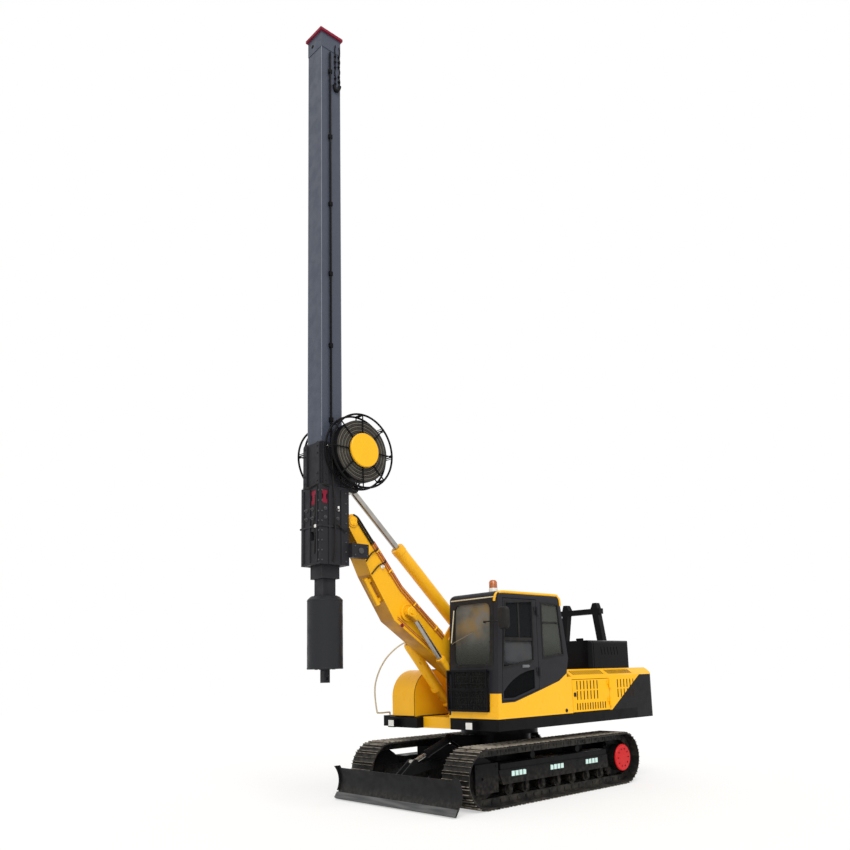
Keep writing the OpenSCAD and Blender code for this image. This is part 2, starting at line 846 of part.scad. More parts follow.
module engine_hood() {
    slot_at = [-1340, 2020];
    slot_pitch = 88;
    slot_h = 130;
    color(black) {
        difference() {
            hood_shell(hood_rear_x, hood_split_x - 6);
            for (i = [0:hood_slots - 1]) xz_slab(hood_right_y - 1, hood_left_y + 1)
                translate(slot_at - [i * slot_pitch, 0]) rotate(-12) square([louver_w, slot_h]);
        }
        hood_hinges() hinge_moving(-1);
    }
}

side_hinge_z = [1230, 1500];

module side_door() {
    color(yellow) {
        xz_slab(side_y - panel_t, side_y) difference() {
            translate([side_door_rear_x, deck_top_z + panel_gap])
                square([side_door_front_x - side_door_rear_x, shoulder_z - panel_t - deck_top_z - 2 * panel_gap]);
            louver_row(-890, -380, 1500, 1620, 7);
            louver_row(-890, -380, 1350, 1470, 7);
            louver_row(-1080, -370, 1200, 1290, 12);
        }
        for (z = side_hinge_z) translate([side_door_rear_x, side_y + hinge_r, z]) hinge_moving(1);
    }
}

module side_door_left() {
    side_door();
}

module side_door_right() {
    mirror([0, 1, 0]) side_door();
}

module fuel_tank() {
    rear_x = side_door_front_x + 25;
    front_x = rear_x + 500;
    inner_y = -420;
    top_z = shoulder_z + 30;
    corner_r = 30;
    cap_r = 60;
    color(yellow) {
        xz_slab(-side_y, inner_y) round_rect([rear_x, deck_top_z], [front_x, top_z], corner_r);
        translate([(rear_x + front_x) / 2, -side_y + 365, top_z - 20]) cylinder(r = cap_r, h = cap_r);
    }
}

module front_box() {
    nose_r = 400;
    front_x = centre_front_x + 70;
    rear_x = front_x - 1080;
    outer_y = -960;
    inner_y = -450;
    box_h = 690;
    color(yellow) xz_slab(outer_y, inner_y) translate([0, deck_top_z]) intersection() {
        translate([rear_x, 0]) square([front_x - rear_x, box_h]);
        union() {
            disc_at([front_x - nose_r, box_h - nose_r], nose_r);
            translate([rear_x, 0]) square([front_x - nose_r - rear_x, box_h]);
            translate([rear_x, 0]) square([front_x - rear_x, box_h - nose_r]);
        }
    }
}

module mast_cradle() {
    bar_h = 95;
    bar_z = cradle_top_z - 195;
    bar_half_w = 430;
    post_t = 115;
    post_x = weight_front_x - 405;
    post_w = 125;
    foot_y = 420;
    lean = 150;
    horn_w = 150;
    horn_tip = 70;
    color(black) {
        block([post_x, -bar_half_w, bar_z], [post_x + post_t, bar_half_w, bar_z + bar_h]);
        both_sides() yz_slab(post_x, post_x + post_t) {
            polygon([
                [foot_y, engine_deck_z], [foot_y + post_w, engine_deck_z],
                [foot_y + post_w - lean, bar_z], [foot_y - lean, bar_z]
            ]);
            translate([foot_y - lean, bar_z + bar_h]) polygon([
                [-30, 0], [horn_w - 30, 0], [horn_w - 60, cradle_top_z - bar_z - bar_h],
                [horn_w - 60 - horn_tip, cradle_top_z - bar_z - bar_h]
            ]);
        }
    }
}

module pipe(points, r) {
    for (i = [0:len(points) - 2]) {
        d = points[i + 1] - points[i];
        translate(points[i]) rotate([0, acos(d.z / norm(d)), atan2(d.y, d.x)]) cylinder(r = r, h = norm(d));
        if (i > 0) translate(points[i]) sphere(r * 1.04);
    }
}

module handrail() {
    y = -1150;
    color(cream) pipe([
        [1270, y, deck_top_z], [1270, y, 1210], [1500, y, 1210], [1540, y, 1250], [1570, y, 1560],
        [1500, y, 1800], [1352, y, 2020], [1160, y, 2180], [949, y, 2290], [700, y, 2340], [560, y, 2290],
        [500, y, 2150], [500, y, deck_top_z]
    ], 16);
}

module work_lights() {
    color(steel) for (p = [[cab_front_x, 790], [centre_front_x + 130, -820]])
        block([p.x, p.y - 75, deck_low_z + 5], [p.x + 90, p.y + 75, deck_low_z + 125]);
}

module beacon() {
    color(amber) translate([885, 800, cab_top_z]) {
        cylinder(r = 60, h = 45);
        translate([0, 0, 45]) cylinder(r = 48, h = 90);
        translate([0, 0, 135]) cylinder(r1 = 48, r2 = 30, h = 20);
    }
}

// Cab
module cab_side_outline() {
    polygon(concat(sill, [
        rear_waist, [cab_rear_at(cab_wall_top_z), cab_wall_top_z], [cab_front_at(cab_wall_top_z), cab_wall_top_z]
    ]));
}

door_top_z = cab_wall_top_z - 12;

module door_outline(gap) {
    polygon([
        [1290 - gap, 1395 + gap], [1034 - gap / 4, 1397 + gap], [door_hinge_x + gap, 1536 + gap],
        [door_hinge_x + gap, door_top_z - gap], [1212 - gap, door_top_z - gap]
    ]);
}

module rear_window(gap) {
    polygon([
        [368 - gap, cab_wall_top_z - 70 - gap], [12 + gap, cab_wall_top_z - 85 - gap],
        [-75 + gap, 2030 + gap], [368 - gap, 1985 + gap]
    ]);
}

door_hinge_z = [1720, cab_wall_top_z - 240];

module cab_left() {
    color(dark_grey) {
        xz_slab(side_y - panel_t, side_y) difference() {
            cab_side_outline();
            door_outline(0);
            rear_window(0);
            translate([cab_front_at(post_top_z) - post_d, 0]) square([2 * post_d, post_top_z]);
        }
        for (z = door_hinge_z) translate([door_hinge_x, side_y + hinge_r, z]) hinge_fixed(-1);
    }
}

module right_window(gap) {
    polygon([
        [1180 - gap, cab_wall_top_z - 160 - gap], [60 + gap, cab_wall_top_z - 160 - gap],
        [gap, 2030 + gap], [1220 - gap, 1900 + gap]
    ]);
}

module cab_right() {
    color(dark_grey) xz_slab(cab_inner_y, cab_inner_y + panel_t) difference() {
        polygon([
            [cab_front_at(deck_top_z + panel_t), deck_top_z + panel_t],
            [cab_rear_foot_x, deck_top_z + panel_t], rear_waist,
            [cab_rear_at(cab_wall_top_z), cab_wall_top_z], [cab_front_at(cab_wall_top_z), cab_wall_top_z]
        ]);
        right_window(0);
    }
}

module front_wall(x_shift, t, z0, z1) {
    polygon([
        [cab_front_at(z0) - x_shift, z0], [cab_front_at(z1) - x_shift, z1],
        [cab_front_at(z1) - x_shift - t, z1], [cab_front_at(z0) - x_shift - t, z0]
    ]);
}

windscreen = [[400, 1870], [1165, cab_wall_top_z - 50]];
front_low_window = [[400, 1300], [post_in_y - 25, 1800]];

module cab_front() {
    color(dark_grey) difference() {
        xz_slab(cab_inner_y + panel_t, side_y - panel_t) front_wall(0, panel_t, strip_front_z, cab_wall_top_z);
        block([0, post_in_y, 0], [cab_front_x, side_y, post_top_z]);
        for (w = [windscreen, front_low_window])
            yz_slab(cab_front_x - 2 * cab_lean - panel_t, cab_front_x + 10) round_rect(w[0], w[1], 50);
    }
}

rear_glass = [[450, 2050], [1120, cab_wall_top_z - 160]];

module cab_rear() {
    color(dark_grey) difference() {
        xz_slab(cab_inner_y + panel_t, side_y - panel_t) polygon([
            [cab_rear_foot_x, deck_top_z + panel_t], rear_waist, [cab_rear_at(cab_wall_top_z), cab_wall_top_z],
            [cab_rear_at(cab_wall_top_z) + panel_t, cab_wall_top_z], rear_waist + [panel_t, 0],
            [cab_rear_foot_x + panel_t, deck_top_z + panel_t]
        ]);
        yz_slab(cab_rear_foot_x - 10, cab_rear_top_x + panel_t + 10) round_rect(rear_glass[0], rear_glass[1], 50);
    }
}

module cab_roof() {
    edge_r = 80;
    over = 4;
    rear_x = cab_rear_at(cab_wall_top_z);
    front_x = cab_front_at(cab_wall_top_z);
    color(dark_grey) intersection() {
        yz_slab(cab_rear_foot_x, cab_front_x)
            round_rect([cab_inner_y, cab_wall_top_z - 2 * edge_r], [side_y, cab_top_z + over], edge_r);
        xz_slab(cab_inner_y, side_y) intersection() {
            translate([rear_x, cab_wall_top_z]) square([front_x - rear_x, roof_t]);
            union() {
                translate([rear_x + roof_t, cab_wall_top_z - roof_t])
                    square([front_x - rear_x - 2 * roof_t, 2 * roof_t]);
                for (x = [rear_x + roof_t, front_x - roof_t]) disc_at([x, cab_wall_top_z], roof_t);
            }
        }
    }
}

module cab_base() {
    color(yellow) {
        block([cab_rear_foot_x, cab_inner_y, deck_top_z], [cab_front_x, side_y - panel_t, deck_top_z + panel_t]);
        xz_slab(side_y - panel_t, side_y) polygon(concat(
            [[side_door_front_x + panel_gap, deck_top_z], [cab_front_x, deck_top_z]], sill,
            [[-146, shoulder_z], [side_door_front_x + panel_gap, shoulder_z]]
        ));
        xz_slab(cab_inner_y + panel_t, post_in_y + 1)
            front_wall(0, panel_t, deck_top_z + panel_t - 1, strip_front_z);
        intersection() {
            xz_slab(post_in_y, side_y) front_wall(0, 2 * post_d, deck_top_z, post_top_z);
            block([cab_front_at(post_top_z) - post_d, 0, 0], [cab_front_x, side_y, post_top_z]);
        }
    }
}

module cab_glass() {
    t = 6;
    inset = 17;
    color(tint) {
        for (w = [windscreen, front_low_window]) intersection() {
            xz_slab(0, side_y) front_wall(inset, t, deck_top_z, cab_wall_top_z);
            yz_slab(0, cab_front_x) round_rect(w[0] + [slip, slip], w[1] - [slip, slip], 50);
        }
        intersection() {
            xz_slab(0, side_y) polygon([
                rear_waist + [inset, 0], [cab_rear_at(cab_wall_top_z) + inset, cab_wall_top_z],
                [cab_rear_at(cab_wall_top_z) + inset + t, cab_wall_top_z], rear_waist + [inset + t, 0]
            ]);
            yz_slab(cab_rear_foot_x, cab_front_x)
                round_rect(rear_glass[0] + [slip, slip], rear_glass[1] - [slip, slip], 50);
        }
        xz_slab(side_y - inset - t, side_y - inset) rear_window(slip);
        xz_slab(cab_inner_y + inset, cab_inner_y + inset + t) right_window(slip);
    }
}

module cab_interior() {
    floor_z = deck_top_z + panel_t;
    seat_y = 790;
    color(black) {
        block([150, seat_y - 200, floor_z], [600, seat_y + 200, floor_z + 280]);
        block([110, seat_y - 250, floor_z + 280], [650, seat_y + 250, floor_z + 420]);
        xz_slab(seat_y - 240, seat_y + 240) polygon([
            [110, floor_z + 400], [230, floor_z + 400], [90, floor_z + 1080], [0, floor_z + 1080]
        ]);
        // Consoles with their control levers
        for (y = [seat_y - 370, seat_y + 260]) {
            block([200, y, floor_z], [720, y + 110, floor_z + 560]);
            translate([660, y + 55, floor_z + 550]) cylinder(r = 18, h = 190);
        }
        // Travel levers
        for (y = [seat_y - 80, seat_y + 80]) {
            translate([1120, y, floor_z]) cylinder(r = 14, h = 620);
            block([1050, y - 60, floor_z], [1190, y + 60, floor_z + 40]);
        }
    }
}

module windscreen_guard() {
    bar = 12;
    x = cab_front_x + 14;
    low = [cab_inner_y + 5, 1262];
    high = [post_in_y - 10, 1830];
    color(black) {
        for (y = [low.x, high.x - 2 * bar]) block([x, y, low.y], [x + 2 * bar, y + 2 * bar, high.y]);
        for (z = [low.y, high.y - 2 * bar, (low.y + high.y) / 2])
            block([x, low.x, z], [x + 2 * bar, high.x, z + 2 * bar]);
        for (i = [1:15]) translate([x + bar, low.x + i * (high.x - low.x) / 16, low.y])
            cylinder(r = bar / 2, h = high.y - low.y);
        for (y = [low.x, high.x - 2 * bar], z = [low.y + 20, high.y - 60])
            block([cab_front_at(z), y, z], [x, y + 2 * bar, z + 40]);
    }
}

module rear_view_mirror() {
    face = [cab_front_x + 20, side_y + 115];
    stem_x = cab_front_x - 110;
    color(black) {
        block([face.x, face.y, cab_wall_top_z - 435], [face.x + 30, face.y + 160, cab_wall_top_z - 190]);
        for (z = [cab_wall_top_z - 380, cab_wall_top_z - 250])
            pipe([[stem_x, side_y, z], [stem_x, side_y + 60, z], [face.x + 5, face.y + 80, z]], 10);
    }
}

module door_window(gap) {
    polygon([
        [1148 - gap, door_top_z - 74 - gap], [600 + gap, door_top_z - 42 - gap],
        [610 + gap, 1950 + gap], [1235 - gap, 1860 + gap]
    ]);
}

// Lower pane of the door, under an arched edge
module door_low_window(gap) {
    arch_r = 1008;
    arch_centre = [553, 802];
    intersection() {
        polygon([
            [1255 - gap, 1435 + gap], [1030, 1436 + gap], [590 + gap, 1550 + gap],
            [590 + gap, arch_centre.y + arch_r], [1255 - gap, arch_centre.y + arch_r]
        ]);
        disc_at(arch_centre, arch_r - gap);
    }
}

module cab_door() {
    color(dark_grey) {
        xz_slab(side_y - panel_t, side_y) difference() {
            door_outline(panel_gap);
            door_window(0);
            door_low_window(0);
        }
        for (z = door_hinge_z) translate([door_hinge_x, side_y + hinge_r, z]) hinge_moving(1);
    }
}

module door_glass() {
    color(tint) xz_slab(side_y - 25, side_y - 19) {
        door_window(slip);
        door_low_window(slip);
    }
}

// Boom
top_foot = tangent_point(foot, foot_r, top_bend, 1);
boom_outline = [
    top_foot, top_bend, top_mid, tangent_point(head, head_r, top_mid, -1),
    tangent_point(head, head_r, low_neck, 1), low_neck, low_mid, low_bend,
    tangent_point(foot, foot_r, low_bend, -1)
];
bracket_low = [600, 1760];
bracket_high = [1180, 2215];
tilt_plate_in = tilt_eye_half_w + bracket_gap;

module boom() {
    color(yellow) {
        difference() {
            union() {
                xz_slab(-boom_w / 2, boom_w / 2) {
                    polygon(boom_outline);
                    disc_at(foot, foot_r);
                    disc_at(head, head_r);
                }
                both_sides() {
                    y_rod(head, head_boss_r, boom_w / 2 - 10, fork_out);
                    y_rod(boom_eye, boss_r, boom_w / 2 - 10, boss_out);
                    // Bracket of the tilt cylinder
                    xz_slab(tilt_plate_in, tilt_plate_in + tilt_plate_t) {
                        disc_at(tilt_base, tilt_eye_r);
                        polygon([
                            bracket_low, bracket_high, tangent_point(tilt_base, tilt_eye_r, bracket_high, 1),
                            tangent_point(tilt_base, tilt_eye_r, bracket_low, -1)
                        ]);
                    }
                }
            }
            y_rod(foot, foot_pin_r + fit, -boom_w, boom_w);
            xz_slab(-fork_gap_half, fork_gap_half) disc_at(head, fork_slot_r);
        }
        y_rod(head, head_pin_r, -fork_out, fork_out);
        y_rod(tilt_base, tilt_pin_r, -tilt_plate_in - tilt_plate_t, tilt_plate_in + tilt_plate_t);
    }
}

// Height and slope of the boom's top edge
function top_edge(x) =
    x < top_bend.x ? top_foot.y + (x - top_foot.x) * (top_bend.y - top_foot.y) / (top_bend.x - top_foot.x)
    : top_bend.y + (x - top_bend.x) * (top_mid.y - top_bend.y) / (top_mid.x - top_bend.x);
function top_slope(x) =
    let (a = x < top_bend.x ? top_foot : top_bend, b = x < top_bend.x ? top_bend : top_mid)
    atan2(b.y - a.y, b.x - a.x);

module boom_fittings() {
    pipe_r = 12;
    lift = 30;
    color(yellow) {
        // Hydraulic pipes on the boom's back and their clamps
        both_sides() {
            for (y = [96, 128])
                pipe([for (x = [1300, 2100, 2600]) [x, y, top_edge(x) + lift]], pipe_r);
            for (x = [1420, 1760, 2260, 2480])
                translate([x, 78, top_edge(x)]) rotate([0, -top_slope(x), 0]) cube([40, 68, lift]);
        }
        // Lock cylinder on the underside near the head
        under = (low_mid - low_bend) / norm(low_mid - low_bend);
        out = [under.y, -under.x];
        for (s = [330, 640]) {
            base = low_bend + under * s;
            xz_slab(20, 90) polygon([base, base + under * 50, base + under * 50 + out * 70, base + out * 70]);
        }
        along(low_bend + under * 300 + out * 62, low_bend + under * 720 + out * 62, 55) cylinder(r = 42, h = 420);
    }
}

module boom_barrels() {
    color(yellow) both_sides() along(boom_base, boom_eye, boom_cyl_y)
        cylinder_barrel(boom_barrel_r, boom_rod_r, boom_pin_r, boom_eye_r, boom_eye_half_w, 92, boom_gland);
}

module boom_rods() {
    color(steel) both_sides() along(boom_base, boom_eye, boom_cyl_y)
        cylinder_rod(boom_rod_r, boom_pin_r, boom_eye_r, boom_eye_half_w, 330, norm(boom_eye - boom_base));
}

module tilt_barrel() {
    color(yellow) along(tilt_base, tilt_eye, 0)
        cylinder_barrel(tilt_barrel_r, tilt_rod_r, tilt_pin_r, tilt_eye_r, tilt_eye_half_w, 110, tilt_gland);
}

module tilt_rod() {
    color(steel) along(tilt_base, tilt_eye, 0)
        cylinder_rod(tilt_rod_r, tilt_pin_r, tilt_eye_r, tilt_eye_half_w, 860, norm(tilt_eye - tilt_base));
}

// Mast
module ear(p, r, wall_x, z0, z1) {
    disc_at(p, r);
    polygon([
        tangent_point(p, r, [wall_x, z0], -1), [wall_x, z0], [wall_x, z1], tangent_point(p, r, [wall_x, z1], 1)
    ]);
}

module mast_housing() {
    cavity = mast_w / 2 + slip;
    ear_in = tilt_eye_half_w + 2 * bracket_gap;
    color(black) difference() {
        union() {
            block([housing_rear_x, -housing_half_w, housing_low_z],
                [housing_front_x, housing_half_w, housing_top_z]);
            block([sleeve_rear_x, -sleeve_half_w, housing_top_z - 1],
                [sleeve_front_x, sleeve_half_w, sleeve_top_z]);
            xz_slab(-lug_half_w, lug_half_w) {
                disc_at(head, head_r);
                translate([head.x, head.y - head_r]) square([housing_rear_x - head.x + 5, 2 * head_r]);
            }
            both_sides() {
                xz_slab(ear_in, ear_in + tilt_plate_t) ear(tilt_eye, tilt_eye_r, sleeve_rear_x + 5, 4310, 4500);
                xz_slab(100, 130) ear(reel_axle, 70, sleeve_rear_x + 5, 4700, 4890);
            }
            y_rod(reel_axle, reel_axle_r, -reel_out + 5, reel_out - 5);
            // Flange between the two guide sections, with stiffening ribs
            block([housing_rear_x + 90, -housing_half_w - rib_h, flange_z],
                [housing_front_x + rib_h, housing_half_w + rib_h, flange_z + rib_t]);
            both_sides() {
                for (x = housing_rib_x)
                    block([x, housing_half_w - 1, housing_low_z], [x + rib_t, housing_half_w + rib_h, rib_top_z]);
                // Block beside the boom head
                block(side_block[0], side_block[1]);
            }
            for (y = housing_rib_y) block([housing_front_x - 1, y, housing_low_z + 30],
                [housing_front_x + rib_h, y + rib_t, rib_top_z]);
        }
        // Windows to the wear pads
        for (w = pad_windows) block([mast_x, w[0].x, w[0].y], [housing_front_x + 2 * rib_h, w[1].x, w[1].y]);
        both_sides() block([side_pad_window[0].x, mast_x - housing_rear_x - 100, side_pad_window[0].y],
            [side_pad_window[1].x, housing_half_w + 2 * rib_h, side_pad_window[1].y]);
        translate([mast_x - cavity, -cavity, housing_low_z - 1])
            cube([2 * cavity, 2 * cavity, sleeve_top_z - housing_low_z + 2]);
        y_rod(head, head_pin_r + fit, -2 * lug_half_w, 2 * lug_half_w);
        for (s = [-1, 1]) y_rod(tilt_eye, tilt_pin_r, s * ear_in - tilt_plate_t, s * ear_in + tilt_plate_t);
    }
}

module mast_tube() {
    color(slate) {
        square_tube(mast_w, mast_wall, tube_low_z, mast_top_z);
        // Doubling plate under the cap
        square_tube(mast_w + 12, 7, mast_top_z - 250, mast_top_z);
        // Wear pads that guide the first inner arm
        square_tube(mast_w - 1, (mast_w - 1 - arm_1_w) / 2 - slip, tube_low_z, tube_low_z + pad_h);
    }
}

module mast_cap() {
    color(red) translate([mast_x, 0, mast_top_z]) {
        translate([-mast_w / 2 - cap_over, -mast_w / 2 - cap_over, 0])
            cube([mast_w + 2 * cap_over, mast_w + 2 * cap_over, cap_h]);
        translate([0, 0, cap_h]) rotate(45) cylinder(r1 = mast_w * 0.7, r2 = 20, h = cap_h, $fn = 4);
    }
}

module mast_lines() {
    line_x = mast_x + 25;
    line_y = mast_w / 2 + 22;
    line_l = mast_top_z - sleeve_top_z - 300;
    clips = 6;
    clip = [50, 40, 60];
    clip_pitch = (line_l - 650) / (clips - 1);
    color(black) {
        translate([line_x, line_y, sleeve_top_z]) cylinder(r = 15, h = line_l);
        for (i = [0:clips - 1])
            translate([line_x - clip.x / 2, mast_w / 2, sleeve_top_z + 300 + i * clip_pitch]) cube(clip);
    }
}

module reel() {
    translate([reel_axle.x, 0, reel_axle.y]) rotate([-90, 0, 0]) difference() {
        union() {
            translate([0, 0, reel_in]) cylinder(r = reel_hub_r, h = reel_out - reel_in);
            translate([0, 0, reel_in + 40]) cylinder(r = pack_r, h = reel_out - reel_in - 80);
            for (z = [reel_in + 20, reel_out - 20]) {
                translate([0, 0, z]) rotate_extrude() translate([reel_r - reel_tube_r, 0]) circle(reel_tube_r);
                for (i = [0:spoke_count - 1]) rotate(i * 360 / spoke_count) translate([reel_hub_r - 20, 0, z])
                    rotate([0, 90, 0]) cylinder(r = 9, h = reel_r - reel_tube_r - reel_hub_r + 20);
            }
            for (i = [0:spoke_count - 1]) rotate(i * 360 / spoke_count)
                translate([reel_r - reel_tube_r, 0, reel_in + 20]) cylinder(r = 9, h = reel_out - reel_in - 40);
        }
        translate([0, 0, reel_in - 1]) cylinder(r = reel_axle_r + fit, h = reel_out - reel_in + 2);
    }
}

module reel_cover() {
    translate([reel_axle.x, 0, reel_axle.y]) rotate([-90, 0, 0]) translate([0, 0, reel_out])
        rotate_extrude() polygon([
            [0, 0], [cover_r, 0], [cover_r, cover_t - 10], [cover_r - 10, cover_t], [0, cover_t]
        ]);
}

module reel_left() {
    color(black) reel();
}

module reel_right() {
    color(black) mirror([0, 1, 0]) reel();
}

module reel_cover_left() {
    color(yellow) reel_cover();
}

module reel_cover_right() {
    color(yellow) mirror([0, 1, 0]) reel_cover();
}

module inner_arm_1() {
    top_z = arm_1_low_z + arm_l;
    bore = arm_1_w - 2 * arm_1_wall;
    collar = mast_w - 2 * mast_wall - 2 * slip;
    color(dark_grey) {
        square_tube(arm_1_w, arm_1_wall, arm_1_low_z, top_z);
        square_tube(collar, (collar - bore) / 2, top_z - pad_h, top_z);
        square_tube(bore + 1, (bore + 1 - arm_2_w) / 2 - slip, arm_1_low_z, arm_1_low_z + pad_h);
    }
}

module inner_arm_2() {
    top_z = drive_top_z + arm_l;
    collar = arm_1_w - 2 * arm_1_wall - 2 * slip;
    color(dark_grey) {
        square_tube(arm_2_w, arm_2_wall, drive_top_z, top_z);
        square_tube(collar, (collar - arm_2_w) / 2 + arm_2_wall, top_z - pad_h, top_z);
    }
}

module drive_head() {
    chamfer = 40;
    color(slate) translate([mast_x, 0, drive_low_z]) rotate_extrude() polygon([
        [journal_r + fit, 0], [drive_r, 0], [drive_r, drive_h - chamfer], [drive_r - chamfer, drive_h],
        [0, drive_h], [0, journal_l], [journal_r + fit, journal_l]
    ]);
}

module drive_stub() {
    color(dark_grey) difference() {
        union() {
            translate([mast_x - stub_w / 2, -stub_w / 2, stub_low_z])
                cube([stub_w, stub_w, drive_low_z - slip - stub_low_z]);
            translate([mast_x, 0, drive_low_z - 20]) cylinder(r = journal_r, h = journal_l + 15);
        }
        y_rod([mast_x, stub_hole_z], stub_hole_r, -stub_w, stub_w);
    }
}

car_body();
track_frames();
track_left();
track_right();
sprockets();
final_drive_covers();
idlers_and_rollers();
slew_ring();
dozer_blade();
blade_cutting_edge();
blade_barrel();
blade_rod();
main_frame();
side_decks();
counterweight();
engine_block();
engine_housing();
hood_front();
engine_hood();
side_door_left();
side_door_right();
fuel_tank();
front_box();
mast_cradle();
handrail();
work_lights();
beacon();
cab_base();
cab_left();
cab_right();
cab_front();
cab_rear();
cab_roof();
cab_glass();
cab_interior();
windscreen_guard();
rear_view_mirror();
cab_door();
door_glass();
boom();
boom_fittings();
boom_barrels();
boom_rods();
tilt_barrel();
tilt_rod();
mast_housing();
mast_tube();
mast_cap();
mast_lines();
reel_left();
reel_cover_left();
reel_right();
reel_cover_right();
inner_arm_1();
inner_arm_2();
drive_head();
drive_stub();
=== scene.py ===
import math

import bmesh
import bpy
from mathutils import Matrix, Vector


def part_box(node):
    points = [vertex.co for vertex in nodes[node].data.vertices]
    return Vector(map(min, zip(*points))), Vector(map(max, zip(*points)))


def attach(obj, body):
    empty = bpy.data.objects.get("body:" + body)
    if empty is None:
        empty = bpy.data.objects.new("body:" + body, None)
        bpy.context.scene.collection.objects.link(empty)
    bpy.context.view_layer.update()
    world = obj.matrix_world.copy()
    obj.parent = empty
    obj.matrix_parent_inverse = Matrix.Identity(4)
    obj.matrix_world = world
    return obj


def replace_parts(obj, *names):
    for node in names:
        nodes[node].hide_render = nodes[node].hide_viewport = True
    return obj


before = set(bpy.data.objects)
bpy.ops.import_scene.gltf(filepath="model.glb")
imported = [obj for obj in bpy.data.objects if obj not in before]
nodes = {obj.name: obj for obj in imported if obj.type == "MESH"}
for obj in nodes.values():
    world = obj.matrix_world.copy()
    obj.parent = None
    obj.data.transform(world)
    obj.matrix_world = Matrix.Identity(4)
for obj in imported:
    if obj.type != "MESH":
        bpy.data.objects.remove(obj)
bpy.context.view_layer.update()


# Directions

SIDES = (1, -1)
NAMED_SIDES = ((1, "left"), (-1, "right"))
LEFT = Vector((0, 1, 0))
AHEAD = Vector((1, 0, 0))
UP = Vector((0, 0, 1))


# Places taken from the machine, in metres

AXLE_X = 1.580
AXLE_Z = 0.400
PLATE_R = 0.375
LINK_R = 0.317
LINK_HALF_H = 0.038
LINK_T = 0.006
TRACK_Y = 0.990
RAIL_Y = 0.085
RAIL_W = 0.040
SHOE_COUNT = 50
STRIP_Y = 1.155
ROLLERS = 7
ROLLER_REACH = 1.050
ROLLER_Z = 0.2103
REEL_AT = (2.960, 4.810)
REEL_FACES = (0.230, 0.420)
REEL_RIM = 0.511
REEL_SPOKES = 8
HOUSING_FRONT = 3.540
HOUSING_SIDE = 0.220
MAST_X = 3.310
MAST_FRONT = 3.475
MAST_HALF_W = 0.165
CAB_SIDE_Y = 1.265
SHOULDER_Z = 1.690
SLANT_FOOT = (-1.203, 1.125)
SLANT_RISE = -0.651


# Camera

CAMERA_AT = Vector((9.376, 8.628, 1.812))
CAMERA_HEADING = Vector((-0.6876, -0.7261, 0.0))
CAMERA_PITCH = math.radians(9.76)
CAMERA_ROLL = math.radians(-1.5)
CAMERA_REACH = 200
FRAME_PX = 850.0
FOCAL_PX = 787.6
CENTRE_PX = (438.5, 536.4)
SENSOR_MM = 36.0


def make_camera():
    """The photograph's viewpoint: a person's height, looking slightly up at the mast."""
    forward = CAMERA_HEADING.normalized() * math.cos(CAMERA_PITCH) + UP * math.sin(CAMERA_PITCH)
    turn = forward.to_track_quat("-Z", "Y").to_matrix().to_4x4()
    camera = bpy.data.objects.new("camera", bpy.data.cameras.new("camera"))
    camera.matrix_world = Matrix.Translation(CAMERA_AT) @ turn @ Matrix.Rotation(CAMERA_ROLL, 4, "Z")
    camera.data.sensor_width = SENSOR_MM
    camera.data.lens = SENSOR_MM * FOCAL_PX / FRAME_PX
    camera.data.shift_x = (FRAME_PX / 2 - CENTRE_PX[0]) / FRAME_PX
    camera.data.shift_y = (CENTRE_PX[1] - FRAME_PX / 2) / FRAME_PX
    camera.data.clip_end = CAMERA_REACH
    bpy.context.scene.collection.objects.link(camera)
    bpy.context.scene.camera = camera


# Stage and light

FLOOR_SIZE = 80.0
FLOOR_WHITE = (0.93, 0.93, 0.93, 1)
FLOOR_GLOW = 0.5
SKY_COLOUR = (1.0, 0.99, 0.97, 1)
SKY_STRENGTH = 0.70
SUN_COLOUR = (1.0, 0.98, 0.94)
SUN_STRENGTH = 1.95
SUN_ANGLE = math.radians(35)
SUN_TOWARD = Vector((-0.55, -0.75, -1.0))


def math_node(tree, kind, *values):
    """A calculation with numbers and the outputs of other nodes."""
    node = tree.nodes.new("ShaderNodeMath")
    node.operation = kind
    for i, value in enumerate(values):
        if isinstance(value, (int, float)):
            node.inputs[i].default_value = value
        else:
            tree.links.new(value, node.inputs[i])
    return node.outputs[0]


def seen_directly(tree):
    """1 for rays that show the background itself: seen, mirrored or looked through."""
    rays = tree.nodes.new("ShaderNodeLightPath").outputs
    mirrored = math_node(tree, "MAXIMUM", rays["Is Camera Ray"], rays["Is Glossy Ray"])
    return math_node(tree, "MAXIMUM", mirrored, rays["Is Transmission Ray"])


def mix_surfaces(tree, factor, first, second, output):
    """Gives a world or material a mix of two surfaces."""
    mix = tree.nodes.new("ShaderNodeMixShader")
    tree.links.new(factor, mix.inputs["Fac"])
    tree.links.new(first.outputs[0], mix.inputs[1])
    tree.links.new(second.outputs[0], mix.inputs[2])
    tree.links.new(mix.outputs[0], tree.nodes[output].inputs["Surface"])


def make_world():
    """A soft sky as the light, and plain white where the background itself shows."""
    world = bpy.data.worlds.new("studio")
    bpy.context.scene.world = world
    world.use_nodes = True
    tree = world.node_tree
    sky = tree.nodes["Background"]
    white = tree.nodes.new("ShaderNodeBackground")
    for node, colour, strength in ((sky, SKY_COLOUR, SKY_STRENGTH), (white, (1, 1, 1, 1), 1.0)):
        node.inputs["Color"].default_value = colour
        node.inputs["Strength"].default_value = strength
    mix_surfaces(tree, seen_directly(tree), sky, white, "World Output")


